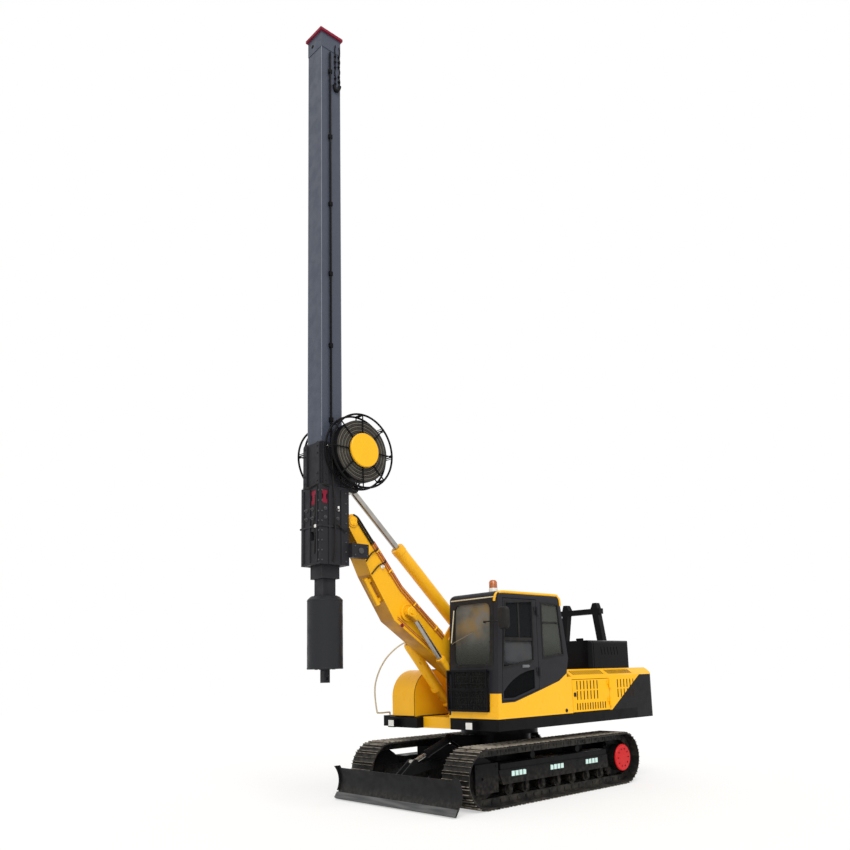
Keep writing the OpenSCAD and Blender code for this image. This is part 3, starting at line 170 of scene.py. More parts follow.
def make_floor():
    """A white floor with soft shadows that runs into the background."""
    mesh = bpy.data.meshes.new("floor")
    h = FLOOR_SIZE / 2
    mesh.from_pydata([(-h, -h, 0), (h, -h, 0), (h, h, 0), (-h, h, 0)], [], [(0, 1, 2, 3)])
    floor = bpy.data.objects.new("floor", mesh)
    bpy.context.scene.collection.objects.link(floor)
    matt = Shader("floor_white").put(base_color=FLOOR_WHITE, roughness=0.9, specular_ior_level=0.0)
    glow = matt.times(seen_directly(matt.tree), FLOOR_GLOW)
    mix_surfaces(matt.tree, glow, matt.surface, matt.node("Emission"), "Material Output")
    mesh.materials.append(matt.material)


def make_sun():
    light = bpy.data.lights.new("soft_sun", "SUN")
    light.energy = SUN_STRENGTH
    light.angle = SUN_ANGLE
    light.color = SUN_COLOUR
    sun = bpy.data.objects.new("soft_sun", light)
    sun.rotation_mode = "QUATERNION"
    sun.rotation_quaternion = SUN_TOWARD.to_track_quat("-Z", "Y")
    bpy.context.scene.collection.objects.link(sun)


# Materials

# How far down a face must look before the painted shade below parts comes in
SHADE_FACES_DOWN = (-0.30, -0.62)


def scaled(colour, share):
    return tuple(min(1.0, c * share) for c in colour)


class Shader:
    """One material with the few nodes that its surface needs."""

    def __init__(self, name):
        self.material = bpy.data.materials.new(name)
        self.material.use_nodes = True
        self.tree = self.material.node_tree
        self.surface = self.tree.nodes["Principled BSDF"]
        self.place = self.node("TexCoord").outputs["Object"]

    def put(self, **values):
        for name, value in values.items():
            socket = name.replace("_", " ").title().replace("Ior", "IOR")
            self.surface.inputs[socket].default_value = value
        return self

    def node(self, kind):
        return self.tree.nodes.new("ShaderNode" + kind)

    def link(self, output, socket):
        self.tree.links.new(output, socket)

    def join(self, output, target):
        self.link(output, self.surface.inputs[target])

    def texture(self, kind, scale, place=None):
        node = self.node("Tex" + kind)
        node.inputs["Scale"].default_value = scale
        self.link(place or self.place, node.inputs["Vector"])
        return node

    def noise(self, scale, detail=4.0, stretch=(1, 1, 1)):
        mapping = self.node("Mapping")
        mapping.inputs["Scale"].default_value = stretch
        self.link(self.place, mapping.inputs["Vector"])
        texture = self.texture("Noise", scale, mapping.outputs[0])
        texture.inputs["Detail"].default_value = detail
        return texture.outputs["Fac"]

    def axis(self, name, of=None):
        split = self.node("SeparateXYZ")
        self.link(of or self.place, split.inputs[0])
        return split.outputs[name]

    def facing_down(self):
        """How far a face of the object looks down, 0 to 1."""
        normal = self.node("TexCoord").outputs["Normal"]
        return self.between(self.axis("Z", normal), *SHADE_FACES_DOWN)

    def math(self, kind, *values):
        return math_node(self.tree, kind, *values)

    def times(self, a, b):
        return self.math("MULTIPLY", a, b)

    def minus(self, a, b):
        return self.math("SUBTRACT", a, b)

    def between(self, value, low, high, to_low=0.0, to_high=1.0):
        node = self.node("MapRange")
        node.interpolation_type = "SMOOTHSTEP"
        limits = {"From Min": low, "From Max": high, "To Min": to_low, "To Max": to_high}
        for name, number in limits.items():
            node.inputs[name].default_value = number
        self.link(value, node.inputs["Value"])
        return node.outputs["Result"]

    def blend(self, factor, low, high):
        node = self.node("Mix")
        node.data_type = "RGBA"
        colours = [s for s in node.inputs if s.type == "RGBA"]
        self.link(factor, node.inputs[0])
        for socket, colour in zip(colours, (low, high)):
            if isinstance(colour, (tuple, list)):
                socket.default_value = (*colour, 1)
            else:
                self.link(colour, socket)
        return next(s for s in node.outputs if s.type == "RGBA")

    def shades(self, factor, colour, low, high):
        """A base colour between two shades of one colour."""
        self.join(self.blend(factor, scaled(colour, low), scaled(colour, high)), "Base Color")

    def rough(self, noise, low, high, start=0.3):
        """A roughness that wanders between two values with a noise."""
        self.join(self.between(noise, start, 0.7, low, high), "Roughness")

    def bump(self, height, strength, depth):
        node = self.node("Bump")
        node.inputs["Strength"].default_value = strength
        node.inputs["Distance"].default_value = depth
        self.link(height, node.inputs["Height"])
        self.join(node.outputs[0], "Normal")


YELLOW = (0.93, 0.470, 0.010)
BLACK = (0.0055, 0.0055, 0.0065)
DUST = (0.17, 0.145, 0.11)
# Brown painted shade for faces that look down
UNDERSIDE_SHADE = (0.20, 0.060, 0.004)
STEEL_DARK = (0.007, 0.0068, 0.0065)
STEEL_DUSTY = (0.045, 0.039, 0.031)
STEEL_RUBBED = (0.44, 0.39, 0.32)
RUBBED_FROM = PLATE_R + 0.008
RUBBED_TO = PLATE_R + 0.021
COAT_ROUGH = 0.12


def paint_colour(shader, colour, dirt, dust_top):
    """A coat with a slow change of tone, thin streaks of dirt, and dust towards the ground."""
    tone = shader.blend(shader.noise(1.3), scaled(colour, 0.93), scaled(colour, 1.05))
    streaks = shader.between(shader.noise(5.0, 8.0, (1, 1, 0.25)), 0.56, 0.78, 0.0, dirt)
    dirty = shader.blend(streaks, tone, scaled(colour, 0.55))
    low = shader.between(shader.axis("Z"), dust_top, 0.0, 0.0, 0.30)
    dusty = shader.times(low, shader.between(shader.noise(22.0, 10.0), 0.30, 0.80))
    return shader.blend(dusty, dirty, DUST)


def painted(name, colour, rough, coat, dirt, shine=0.5, dust_top=0.9, shade_below=0.0):
    """Paint, with brown painted shade on the faces that look down if asked for."""
    shader = Shader(name).put(coat_weight=coat, coat_roughness=COAT_ROUGH, specular_ior_level=shine)
    coat_colour = paint_colour(shader, colour, dirt, dust_top)
    # Painted shade: faces that look down turn darker brown, in patches
    if shade_below:
        painted_light_patches = shader.between(shader.noise(3.0, 6.0), 0.25, 0.6, shade_below * 0.6, shade_below)
        coat_colour = shader.blend(shader.times(shader.facing_down(), painted_light_patches), coat_colour, UNDERSIDE_SHADE)
    shader.join(coat_colour, "Base Color")
    shader.rough(shader.noise(7.0, 6.0), rough - 0.07, rough + 0.14, 0.35)
    shader.bump(shader.noise(160.0, 2.0), 0.06, 0.002)
    return shader.material


def two_tone(name):
    """The side panels' yellow with a black corner cut off by a slanting line towards the rear."""
    shader = Shader(name).put(coat_weight=0.02, coat_roughness=COAT_ROUGH, specular_ior_level=0.10)
    yellow = paint_colour(shader, YELLOW, 0.12, 0.9)
    black = paint_colour(shader, BLACK, 0.2, 0.9)
    along = shader.times(shader.minus(shader.axis("X"), SLANT_FOOT[0]), SLANT_RISE)
    under = shader.math("LESS_THAN", shader.minus(shader.axis("Z"), SLANT_FOOT[1]), along)
    below = shader.math("LESS_THAN", shader.axis("Z"), SHOULDER_Z)
    shader.join(shader.blend(shader.times(under, below), yellow, black), "Base Color")
    shader.rough(shader.noise(7.0, 6.0), 0.27, 0.46, 0.35)
    shader.bump(shader.noise(160.0, 2.0), 0.06, 0.002)
    return shader.material


def track_steel(name):
    """Dark steel, dusty all over and rubbed bare on the tips of the grousers."""
    shader = Shader(name).put(metallic=0.1, specular_ior_level=0.3)
    past = shader.minus(shader.math("ABSOLUTE", shader.axis("X")), AXLE_X)
    sides = (shader.math("MAXIMUM", past, 0.0), shader.minus(shader.axis("Z"), AXLE_Z))
    out = shader.math("SQRT", shader.math("ADD", *[shader.times(s, s) for s in sides]))
    tips = shader.between(out, RUBBED_FROM, RUBBED_TO, 0.0, 0.95)
    rubbed = shader.times(tips, shader.between(shader.noise(14.0, 6.0), 0.26, 0.55))
    dusty = shader.between(shader.noise(6.0, 8.0), 0.40, 0.72, 0.0, 0.8)
    base = shader.blend(dusty, STEEL_DARK, STEEL_DUSTY)
    shader.join(shader.blend(rubbed, base, STEEL_RUBBED), "Base Color")
    shader.rough(shader.noise(20.0, 4.0), 0.45, 0.75)
    shader.bump(shader.noise(60.0, 6.0), 0.35, 0.004)
    return shader.material


def bare_metal(name, dark, light, rough, grain=(1, 1, 1), metallic=1.0):
    shader = Shader(name).put(metallic=metallic)
    tone = shader.between(shader.noise(12.0, 6.0, grain), 0.3, 0.7)
    shader.join(shader.blend(tone, dark, light), "Base Color")
    shader.rough(shader.noise(24.0, 4.0, grain), rough * 0.7, rough * 1.5)
    shader.bump(shader.noise(90.0, 4.0, grain), 0.08, 0.001)
    return shader.material


def rubber(name, colour=(0.012, 0.0115, 0.011), rough=0.6):
    shader = Shader(name).put(specular_ior_level=0.15)
    shader.shades(shader.noise(8.0, 6.0), colour, 0.7, 1.9)
    shader.rough(shader.noise(14.0), rough - 0.12, rough + 0.15)
    shader.bump(shader.noise(220.0, 3.0), 0.15, 0.001)
    return shader.material


GLASS_PAINTED_SHADE_TO = (1.85, 2.30)
GLASS_IOR = 1.05
GLASS_CLEAR = 0.55
PAINTED_FILM_SHUTS = 0.10


def window_glass(name, tint, grey, brown, rise, fall, from_x):
    """Tinted glass, darker below as painted shade, with patches of painted reflection and see-through light
    between two stretches of height.
    """
    shader = Shader(name).put(ior=GLASS_IOR, roughness=0.04)
    height = shader.axis("Z")
    band = shader.times(shader.between(height, *rise), shader.between(height, *fall, 1.0, 0.0))
    here = shader.times(band, shader.math("GREATER_THAN", shader.axis("X"), from_x))
    # Patches of painted light: reflections on the glass and light seen through it
    painted_light_patches = shader.times(here, shader.between(shader.noise(2.2, 3.0), 0.30, 0.62, 0.25, 1.0))
    painted_light_film = shader.blend(shader.between(shader.noise(3.1, 3.0), 0.45, 0.65), grey, brown)
    # Painted shade: the glass is darker below these heights
    clear = shader.blend(shader.between(height, *GLASS_PAINTED_SHADE_TO), scaled(tint, 0.50), tint)
    shader.join(shader.blend(painted_light_patches, clear, painted_light_film), "Base Color")
    shut = shader.times(painted_light_patches, PAINTED_FILM_SHUTS)
    shader.join(shader.minus(GLASS_CLEAR, shut), "Transmission Weight")
    shader.bump(shader.noise(1.4, 1.0), 0.05, 0.02)
    return shader.material


def ribbed_lens(name, colour, transmission, ribs):
    shader = Shader(name).put(transmission_weight=transmission, ior=1.48, coat_weight=0.4)
    wave = shader.texture("Wave", ribs)
    wave.bands_direction = "Z"
    shader.shades(wave.outputs["Fac"], colour, 0.8, 1.1)
    shader.rough(shader.noise(30.0), 0.1, 0.25)
    shader.bump(wave.outputs["Fac"], 0.3, 0.004)
    return shader.material


def cloth(name, colour):
    shader = Shader(name).put(sheen_weight=0.3)
    weave = shader.texture("Voronoi", 260.0)
    shader.shades(shader.noise(5.0, 6.0), colour, 0.7, 1.4)
    shader.rough(shader.noise(9.0), 0.75, 0.95)
    shader.bump(weave.outputs["Distance"], 0.4, 0.002)
    return shader.material


# Colour, roughness, clear coat, dirt, shine, height of the dust, and painted shade on faces that look down
PAINTS = {
    "yellow_paint": (YELLOW, 0.33, 0.06, 0.16, 0.22),
    # The boom's last number is the painted shade on its faces that look down
    "boom_paint": (scaled(YELLOW, 0.95), 0.38, 0.05, 0.45, 0.2, 0.9, 0.78),
    "black_paint": (BLACK, 0.42, 0.02, 0.2, 0.06, 0.6),
    "hood_black": ((0.004, 0.004, 0.005), 0.24, 0.05, 0.10, 0.05),
    "slate_paint": ((0.054, 0.064, 0.092), 0.45, 0.05, 0.35, 0.3),
    # Paler slate for the painted highlights along the mast's edges
    "slate_worn": ((0.20, 0.215, 0.255), 0.4, 0.05, 0.5, 0.4),
    "drum_paint": ((0.019, 0.020, 0.023), 0.42, 0.03, 0.3, 0.14),
    "housing_black": ((0.020, 0.0202, 0.0240), 0.5, 0.02, 0.6, 0.14),
    "blade_paint": ((0.009, 0.0095, 0.0105), 0.5, 0.02, 0.35, 0.14, 0.3),
    "cab_grey": ((0.0195, 0.0195, 0.0240), 0.42, 0.03, 0.2, 0.10),
    "red_paint": ((0.55, 0.011, 0.013), 0.35, 0.05, 0.12, 0.15, 0.1),
    "crimson": ((0.21, 0.010, 0.030), 0.5, 0.02, 0.4, 0.15),
    "cream_paint": ((0.62, 0.55, 0.38), 0.4, 0.1, 0.25),
    "pipe_paint": ((0.42, 0.10, 0.022), 0.35, 0.2, 0.3),
    "pale_strip": ((0.60, 0.84, 0.80), 0.25, 0.5, 0.2),
    "white_paint": ((0.78, 0.77, 0.73), 0.4, 0.1, 0.3),
    "engine_grey": ((0.10, 0.10, 0.105), 0.6, 0.0, 0.5),
    "handle_grey": ((0.16, 0.165, 0.18), 0.4, 0.1, 0.3, 0.3),
    "wiper_grey": ((0.20, 0.17, 0.12), 0.5, 0.0, 0.4, 0.3),
    "bolt_grey": ((0.052, 0.052, 0.056), 0.45, 0.0, 0.5, 0.3),
}
# Dark and light tone, roughness, grain and share of metal
METALS = {
    "bright_rod": ((0.34, 0.325, 0.295), (0.42, 0.40, 0.37), 0.24),
    "worn_steel": ((0.05, 0.052, 0.056), (0.14, 0.14, 0.14), 0.5, (1, 0.2, 3), 0.6),
    "mirror": ((0.80, 0.81, 0.82), (0.86, 0.87, 0.88), 0.03),
}
# Colour and roughness
RUBBERS = {
    "rubber": (),
    # Dark for the painted shade in the louvre slots and for the joint round the domed box
    "slot_dark": ((0.022, 0.011, 0.004), 0.8),
    "rope_black": ((0.0035, 0.0035, 0.0045), 0.75),
    "hose_light": ((0.085, 0.080, 0.068), 0.38),
    "hose": ((0.034, 0.031, 0.027), 0.36),
}
# Tint, grey and brown of the painted reflection and see-through light, heights where that painted film comes
# and goes, and the X it starts at
GLASSES = {
    "tinted_glass": ((0.130, 0.138, 0.126), (0.27, 0.265, 0.240), (0.36, 0.255, 0.130),
                     (2.02, 2.45), (3.2, 3.4), 1.20),
    "door_glass": ((0.025, 0.027, 0.030), (0.105, 0.113, 0.123), (0.125, 0.118, 0.110),
                   (1.84, 1.96), (2.15, 2.26), 0.0),
}
# Colour, transmission and ribs
LENSES = {"lamp": ((0.80, 0.80, 0.77), 0.0, 30.0), "amber_lens": ((0.62, 0.16, 0.02), 0.25, 24.0)}
SEAT_COLOUR = (0.030, 0.030, 0.032)


def make_materials():
    made = {"side_paint": two_tone("side_paint"), "track_steel": track_steel("track_steel"),
            "seat_black": cloth("seat_black", SEAT_COLOUR)}
    kinds = ((painted, PAINTS), (bare_metal, METALS), (rubber, RUBBERS), (window_glass, GLASSES),
             (ribbed_lens, LENSES))
    for make, table in kinds:
        for name, values in table.items():
            made[name] = make(name, *values)
    return made


# Mesh building

SHARP_EDGE = math.radians(34)
BEVEL_EDGE = math.radians(40)
BEVEL_STEPS = 2


def circle(count):
    """Cosine and sine of evenly spread turns."""
    turns = [2 * math.pi * k / count for k in range(count)]
    return [(math.cos(t), math.sin(t)) for t in turns]


class Shape:
    """A mesh put together from simple forms, in metres in the part's frame."""

    def __init__(self):
        self.bm = bmesh.new()

    def loft(self, rings, closed=False):
        """Joins rings of equal count into a skin, with end faces unless it closes on itself."""
        made = [[self.bm.verts.new(p) for p in ring] for ring in rings]
        pairs = list(zip(made, made[1:])) + ([(made[-1], made[0])] if closed else [])
        count = len(rings[0])
        for a, b in pairs:
            for i in range(count):
                j = (i + 1) % count
                self.bm.faces.new((a[i], a[j], b[j], b[i]))
        if not closed:
            self.bm.faces.new(made[0][::-1])
            self.bm.faces.new(made[-1])
        return self

    def frame(self, loops):
        """A closed frame whose long edges are the loops."""
        return self.loft(list(zip(*loops)), closed=True)

    def box(self, low, high):
        x, y, z = zip(low, high)
        return self.loft([[(x[0], y[0], h), (x[1], y[0], h), (x[1], y[1], h), (x[0], y[1], h)] for h in z])

    def prism(self, outline, axis, low, high):
        """An outline in the two other axes, drawn out along one axis from low to high."""
        at = "xyz".index(axis)
        return self.loft([[(*p[:at], h, *p[at:]) for p in outline] for h in (low, high)])

    def tube(self, points, radius, sides=10):
        """A round bar along a line of points. The radius is one number or one per point."""
        points = [Vector(p) for p in points]
        radii = radius if isinstance(radius, (list, tuple)) else [radius] * len(points)
        padded = [points[0], *points, points[-1]]
        ahead = [(b - a).normalized() for a, b in zip(padded, padded[2:])]
        side = ahead[0].orthogonal().normalized()
        rings = []
        for point, run, r in zip(points, ahead, radii):
            side = (side - run * side.dot(run)).normalized()
            other = run.cross(side)
            rings.append([point + (side * c + other * s) * r for c, s in circle(sides)])
        return self.loft(rings)

    def cord(self, points, radius, steps=8, sides=10):
        """A round bar along a smooth line through the points, by Catmull-Rom."""
        p = [Vector(q) for q in points]
        p = [2 * p[0] - p[1], *p, 2 * p[-1] - p[-2]]
        line = []
        for a, b, c, d in zip(p, p[1:], p[2:], p[3:]):
            for t in [i / steps for i in range(steps)]:
                line.append(0.5 * (2 * b + (c - a) * t + (2 * a - 5 * b + 4 * c - d) * t * t
                                   + (3 * b - a - 3 * c + d) * t ** 3))
        return self.tube([*line, p[-2]], radius, sides)

    def turned(self, foot, profile, sides):
        """A form turned about an upright axis, from pairs of height over its foot and radius."""
        x, y, z = foot
        return self.tube([(x, y, z + h) for h, _ in profile], [r for _, r in profile], sides)

    def disc(self, centre, axis, radius, height, sides=24, edge=0.0):
        """A short round boss along an axis, with a chamfered outer rim."""
        centre, axis = Vector(centre), Vector(axis).normalized()
        top = centre + axis * height
        if edge:
            return self.tube([centre, top - axis * edge, top], [radius, radius, radius - edge], sides)
        return self.tube([centre, top], radius, sides)

    def ring(self, centre, axis, radius, thick, steps=48, sides=6):
        """A round ring of round bar about an axis."""
        centre, axis = Vector(centre), Vector(axis).normalized()
        u = axis.orthogonal().normalized()
        v = axis.cross(u)
        rings = []
        for c, s in circle(steps):
            out = u * c + v * s
            rings.append([centre + out * (radius + thick * a) + axis * thick * b for a, b in circle(sides)])
        return self.loft(rings, closed=True)

    def bolts(self, places, axis, radius, height):
        for place in places:
            self.disc(place, axis, radius, height, 6, height * 0.25)
        return self

    def screw(self, place, axis, washer, head, sides=20, edge=0.004):
        """A round washer with a hexagon on it, each given as radius and height."""
        self.disc(place, axis, *washer, sides, edge)
        return self.disc(Vector(place) + axis * washer[1], axis, *head, 6, 0.003)

    def piece(self, name, body, material, bevel=0.0):
        bmesh.ops.recalc_face_normals(self.bm, faces=self.bm.faces)
        mesh = bpy.data.meshes.new(name)
        self.bm.to_mesh(mesh)
        self.bm.free()
        for polygon in mesh.polygons:
            polygon.use_smooth = True
        mesh.set_sharp_from_angle(angle=SHARP_EDGE)
        mesh.materials.append(materials[material])
        made = bpy.data.objects.new(name, mesh)
        bpy.context.scene.collection.objects.link(made)
        if bevel:
            soft = made.modifiers.new("soft_edges", "BEVEL")
            soft.width = bevel
            soft.segments = BEVEL_STEPS
            soft.limit_method = "ANGLE"
            soft.angle_limit = BEVEL_EDGE
        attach(made, body)
        return made


def spread(low, high, count):
    """Evenly spread places from low to high."""
    return [low + (high - low) * i / (count - 1) for i in range(count)]


# Surfaces of the CAD nodes

NODE_MATERIALS = {
    "yellow_paint": (
        "main_frame", "fuel_tank", "front_box", "cab_base", "tilt_barrel", "reel_cover_left",
        "reel_cover_right",
    ),
    "boom_paint": ("boom", "boom_fittings", "boom_barrels"),
    "side_paint": ("engine_housing", "side_door_left", "side_door_right", "counterweight"),
    "black_paint": (
        "car_body", "track_frames", "sprockets", "idlers_and_rollers", "slew_ring", "blade_barrel",
        "side_decks", "mast_cradle", "mast_lines", "windscreen_guard", "rear_view_mirror", "work_lights",
        "reel_left", "reel_right",
    ),
    "hood_black": ("hood_front", "engine_hood"),
    "blade_paint": ("dozer_blade",),
    "slate_paint": ("mast_tube",),
    "drum_paint": ("drive_head",),
    "housing_black": ("mast_housing", "inner_arm_1", "inner_arm_2", "drive_stub"),
    "cab_grey": ("cab_left", "cab_right", "cab_front", "cab_rear", "cab_roof", "cab_door"),
    "red_paint": ("final_drive_covers",),
    "crimson": ("mast_cap",),
    "track_steel": ("track_left", "track_right"),
    "bright_rod": ("boom_rods", "tilt_rod", "blade_rod"),
    "worn_steel": ("blade_cutting_edge",),
    "cream_paint": ("handrail",),
    "engine_grey": ("engine_block",),
    "amber_lens": ("beacon",),
    "tinted_glass": ("cab_glass",),
    "door_glass": ("door_glass",),
    "seat_black": ("cab_interior",),
}


def dress_nodes():
    for material, names in NODE_MATERIALS.items():
        for name in names:
            slots = nodes[name].data.materials
            slots.clear()
            slots.append(materials[material])


# Running gear

LINK_REACH = 0.44
LINK_TAPER = 0.6
PIN_BACK = 0.3
PIN_R = 0.024
SHOE_BOLT_AT = 0.28
SHOE_BOLT_OFF = 0.02
FRAME_FACE = 0.145
ROLLER_BOLT = (0.024, 0.06)
IDLER_BOLT_X = (AXLE_X - 0.235, AXLE_X + 0.135)
IDLER_BOLT_DZ = 0.15
STRIP_BOLT_X = (-1.05, -0.45, 0.15, 0.75)
STRIP_BOLT_Z = (0.315, 0.455)
PALE_X = (0.74, -0.10, -0.94)
PALE_Z = (0.385, 0.452)
PALE_W = 0.062
PALE_STEP = 0.079
PALE_T = 0.003
COVER_BOLT_R = 0.135


def loop_place(distance, radius):
    """Point, run and outward direction at a distance along a track's shoe plates, in the X-Z plane."""
    base = 2 * AXLE_X
    arc = math.pi * PLATE_R
    d = distance % (2 * base + 2 * arc)
    if d < base:
        return (d - AXLE_X, radius), (1, 0), (0, 1)
    if d < base + arc:
        t, centre = math.pi / 2 - (d - base) / PLATE_R, AXLE_X
    elif d < 2 * base + arc:
        return (AXLE_X - (d - base - arc), -radius), (-1, 0), (0, -1)
    else:
        t, centre = -math.pi / 2 - (d - 2 * base - arc) / PLATE_R, -AXLE_X
    out = (math.cos(t), math.sin(t))
    return (centre + radius * out[0], radius * out[1]), (out[1], -out[0]), out


def track_links(side, name):
    """Chain links with their pin ends on both rails, and the bolts that hold the shoes."""
    shape = Shape()
    pitch = (4 * AXLE_X + 2 * math.pi * PLATE_R) / SHOE_COUNT
    for i in range(SHOE_COUNT):
        middle, run, out = loop_place((i + 0.5) * pitch, LINK_R)
        at = Vector((middle[0], 0, AXLE_Z + middle[1]))
        run, out = Vector((run[0], 0, run[1])), Vector((out[0], 0, out[1]))
        half, tall = run * pitch * LINK_REACH, out * LINK_HALF_H
        for rail, way in ((1, 1), (1, -1), (-1, -1), (-1, 1)):
            away = LEFT * way
            foot = at + LEFT * (side * TRACK_Y + rail * RAIL_Y + way * RAIL_W / 2)
            corners = [foot - half - tall * LINK_TAPER, foot + half - tall,
                       foot + half + tall * LINK_TAPER, foot - half + tall]
            shape.loft([corners, [c + away * LINK_T for c in corners]])
            shape.disc(foot - run * pitch * PIN_BACK + away * LINK_T, away, PIN_R, LINK_T, 12)
        plate, _, _ = loop_place((i + SHOE_BOLT_AT) * pitch, PLATE_R)
        spot = Vector((plate[0], side * TRACK_Y, AXLE_Z + plate[1]))
        across = [rail + off for rail in (-RAIL_Y, RAIL_Y) for off in (-SHOE_BOLT_OFF, SHOE_BOLT_OFF)]
        shape.bolts([spot + LEFT * y for y in across], out, 0.011, 0.008)
    shape.piece(name, "undercarriage", "track_steel")


def track_frame_details(side, name):
    """Roller ends, guard bolts and the pale blocks on the outer strip."""
    face_y = side * (TRACK_Y + FRAME_FACE)
    strip_y = side * STRIP_Y
    away = LEFT * side
    dark = Shape()
    for x in spread(-ROLLER_REACH, ROLLER_REACH, ROLLERS):
        dark.disc((x, face_y, ROLLER_Z), away, 0.036, 0.012, 20, 0.004)
        over = [(x + way * ROLLER_BOLT[0], face_y, ROLLER_Z + ROLLER_BOLT[1]) for way in (-1, 1)]
        dark.bolts(over, away, 0.008, 0.006)
    for x in IDLER_BOLT_X:
        dark.bolts([(x, strip_y, AXLE_Z + z) for z in (-IDLER_BOLT_DZ, IDLER_BOLT_DZ)], away, 0.014, 0.008)
    for x in STRIP_BOLT_X:
        dark.bolts([(x, strip_y, z) for z in STRIP_BOLT_Z], away, 0.011, 0.007)
    dark.piece(name + "_bolts", "undercarriage", "black_paint")
    pale = Shape()
    low, high = sorted((strip_y, strip_y + side * PALE_T))
    for first in PALE_X:
        for i in range(4):
            x = first + i * PALE_STEP
            pale.box((x, low, PALE_Z[0]), (x + PALE_W, high, PALE_Z[1]))
    pale.piece(name + "_strips", "undercarriage", "pale_strip")


def drive_cover_bolts():
    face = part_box("final_drive_covers")[1].y
    shape = Shape()
    spots = [(COVER_BOLT_R * c - AXLE_X, COVER_BOLT_R * s + AXLE_Z) for c, s in circle(10)]
    for side in SIDES:
        shape.bolts([(x, side * face, z) for x, z in spots], LEFT * side, 0.010, 0.008)
    shape.piece("final_drive_bolts", "undercarriage", "black_paint")


# Cab and upper structure

DOOR_WINDOW = [(1.148, 2.739), (0.600, 2.771), (0.610, 1.950), (1.235, 1.860)]
REAR_WINDOW = [(0.368, 2.755), (0.012, 2.740), (-0.075, 2.030), (0.368, 1.985)]
SEAL_OUT = (0.006, 0.026)
SEAL_IN = (-0.02, -0.004)
DOOR_BARS = (
    ((0.605, 1.236, 2.215), (1.20, 1.262, 2.262)),
    ((0.86, 1.236, 2.262), (0.89, 1.256, 2.745)),
)
REAR_BAR = ((-0.02, 1.240, 2.475), (0.36, 1.258, 2.495))
HANDLE_PLATE = ((0.715, CAB_SIDE_Y, 1.840), (0.845, CAB_SIDE_Y + 0.010, 1.880))
HANDLE_GRIP = ((0.725, 1.272, 1.86), (0.735, 1.298, 1.86), (0.825, 1.298, 1.86), (0.835, 1.272, 1.86))
LAMP_Y = {"left": 0.79, "right": -0.82}
LENS_HALF_W = 0.062
LENS_EDGE = 0.014
LENS_T = 0.006
BEACON_FOOT = ((0.001, 0.065), (0.086, 0.064), (0.092, 0.060))
BEACON_DOME = ((0.092, 0.061), (0.180, 0.0605), (0.204, 0.046), (0.215, 0.020))


def resized(outline, by):
    """An outline pushed outwards from its middle by about a distance."""
    cx = sum(p[0] for p in outline) / len(outline)
    cz = sum(p[1] for p in outline) / len(outline)
    return [(x + math.copysign(by, x - cx), z + math.copysign(by, z - cz)) for x, z in outline]


def seal(shape, outline):
    """A rubber seal round a window in the cab's side."""
    (proud, outer), (sunk, inner) = SEAL_OUT, SEAL_IN
    section = ((sunk, outer), (proud, outer), (proud, inner), (sunk, inner))
    shape.frame([[(x, CAB_SIDE_Y + y, z) for x, z in resized(outline, by)] for y, by in section])


def door_trim():
    """The seal and the bars of the door's window, and the door's handle."""
    dark = Shape()
    seal(dark, DOOR_WINDOW)
    for bar in DOOR_BARS:
        dark.box(*bar)
    dark.piece("door_seals", "cab_door", "rubber")
    handle = Shape().box(*HANDLE_PLATE).cord(HANDLE_GRIP, 0.009, 6)
    handle.piece("door_handle", "cab_door", "handle_grey", 0.003)


def cab_trim():
    """The seal of the rear side window, and the yellow edge over the roof."""
    dark = Shape()
    seal(dark, REAR_WINDOW)
    dark.box(*REAR_BAR)
    dark.piece("rear_window_seal", "upper", "rubber")
    low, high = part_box("cab_roof")
    face_y, edge_y, edge_z = high.y - 0.004, high.y - 0.020, high.z - 0.014
    line = [
        (high.x + 0.006, face_y - 0.062, low.z - 0.060), (high.x, face_y - 0.050, low.z + 0.006),
        (high.x - 0.022, face_y - 0.036, low.z + 0.046),
        (high.x - 0.070, edge_y - 0.008, edge_z - 0.012), (high.x - 0.150, edge_y, edge_z),
        (0.60, edge_y, edge_z), (low.x + 0.095, edge_y, edge_z), (low.x + 0.030, edge_y, low.z + 0.052),
        (low.x, face_y, low.z + 0.004), (low.x - 0.010, face_y, low.z - 0.085),
    ]
    Shape().cord(line, 0.020, 6).piece("cab_arch", "upper", "yellow_paint")


def lamp_front(y):
    """X of the foremost point of the work light near a place across the machine."""
    return max(v.co.x for v in nodes["work_lights"].data.vertices if abs(v.co.y - y) < 0.1)


def lamps():
    low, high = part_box("work_lights")
    for name, y in LAMP_Y.items():
        x = lamp_front(y)
        lens = Shape().box((x, y - LENS_HALF_W, low.z + LENS_EDGE),
                           (x + LENS_T, y + LENS_HALF_W, high.z - LENS_EDGE))
        lens.piece("lamp_lens_" + name, "upper", "lamp", 0.003)


def beacon_dome():
    """The beacon's white foot and its ribbed amber dome."""
    low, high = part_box("beacon")
    at = ((low.x + high.x) / 2, (low.y + high.y) / 2, low.z)
    Shape().turned(at, BEACON_FOOT, 32).piece("beacon_foot", "upper", "white_paint")
    Shape().turned(at, BEACON_DOME, 32).piece("beacon_dome", "upper", "amber_lens")


# Mast

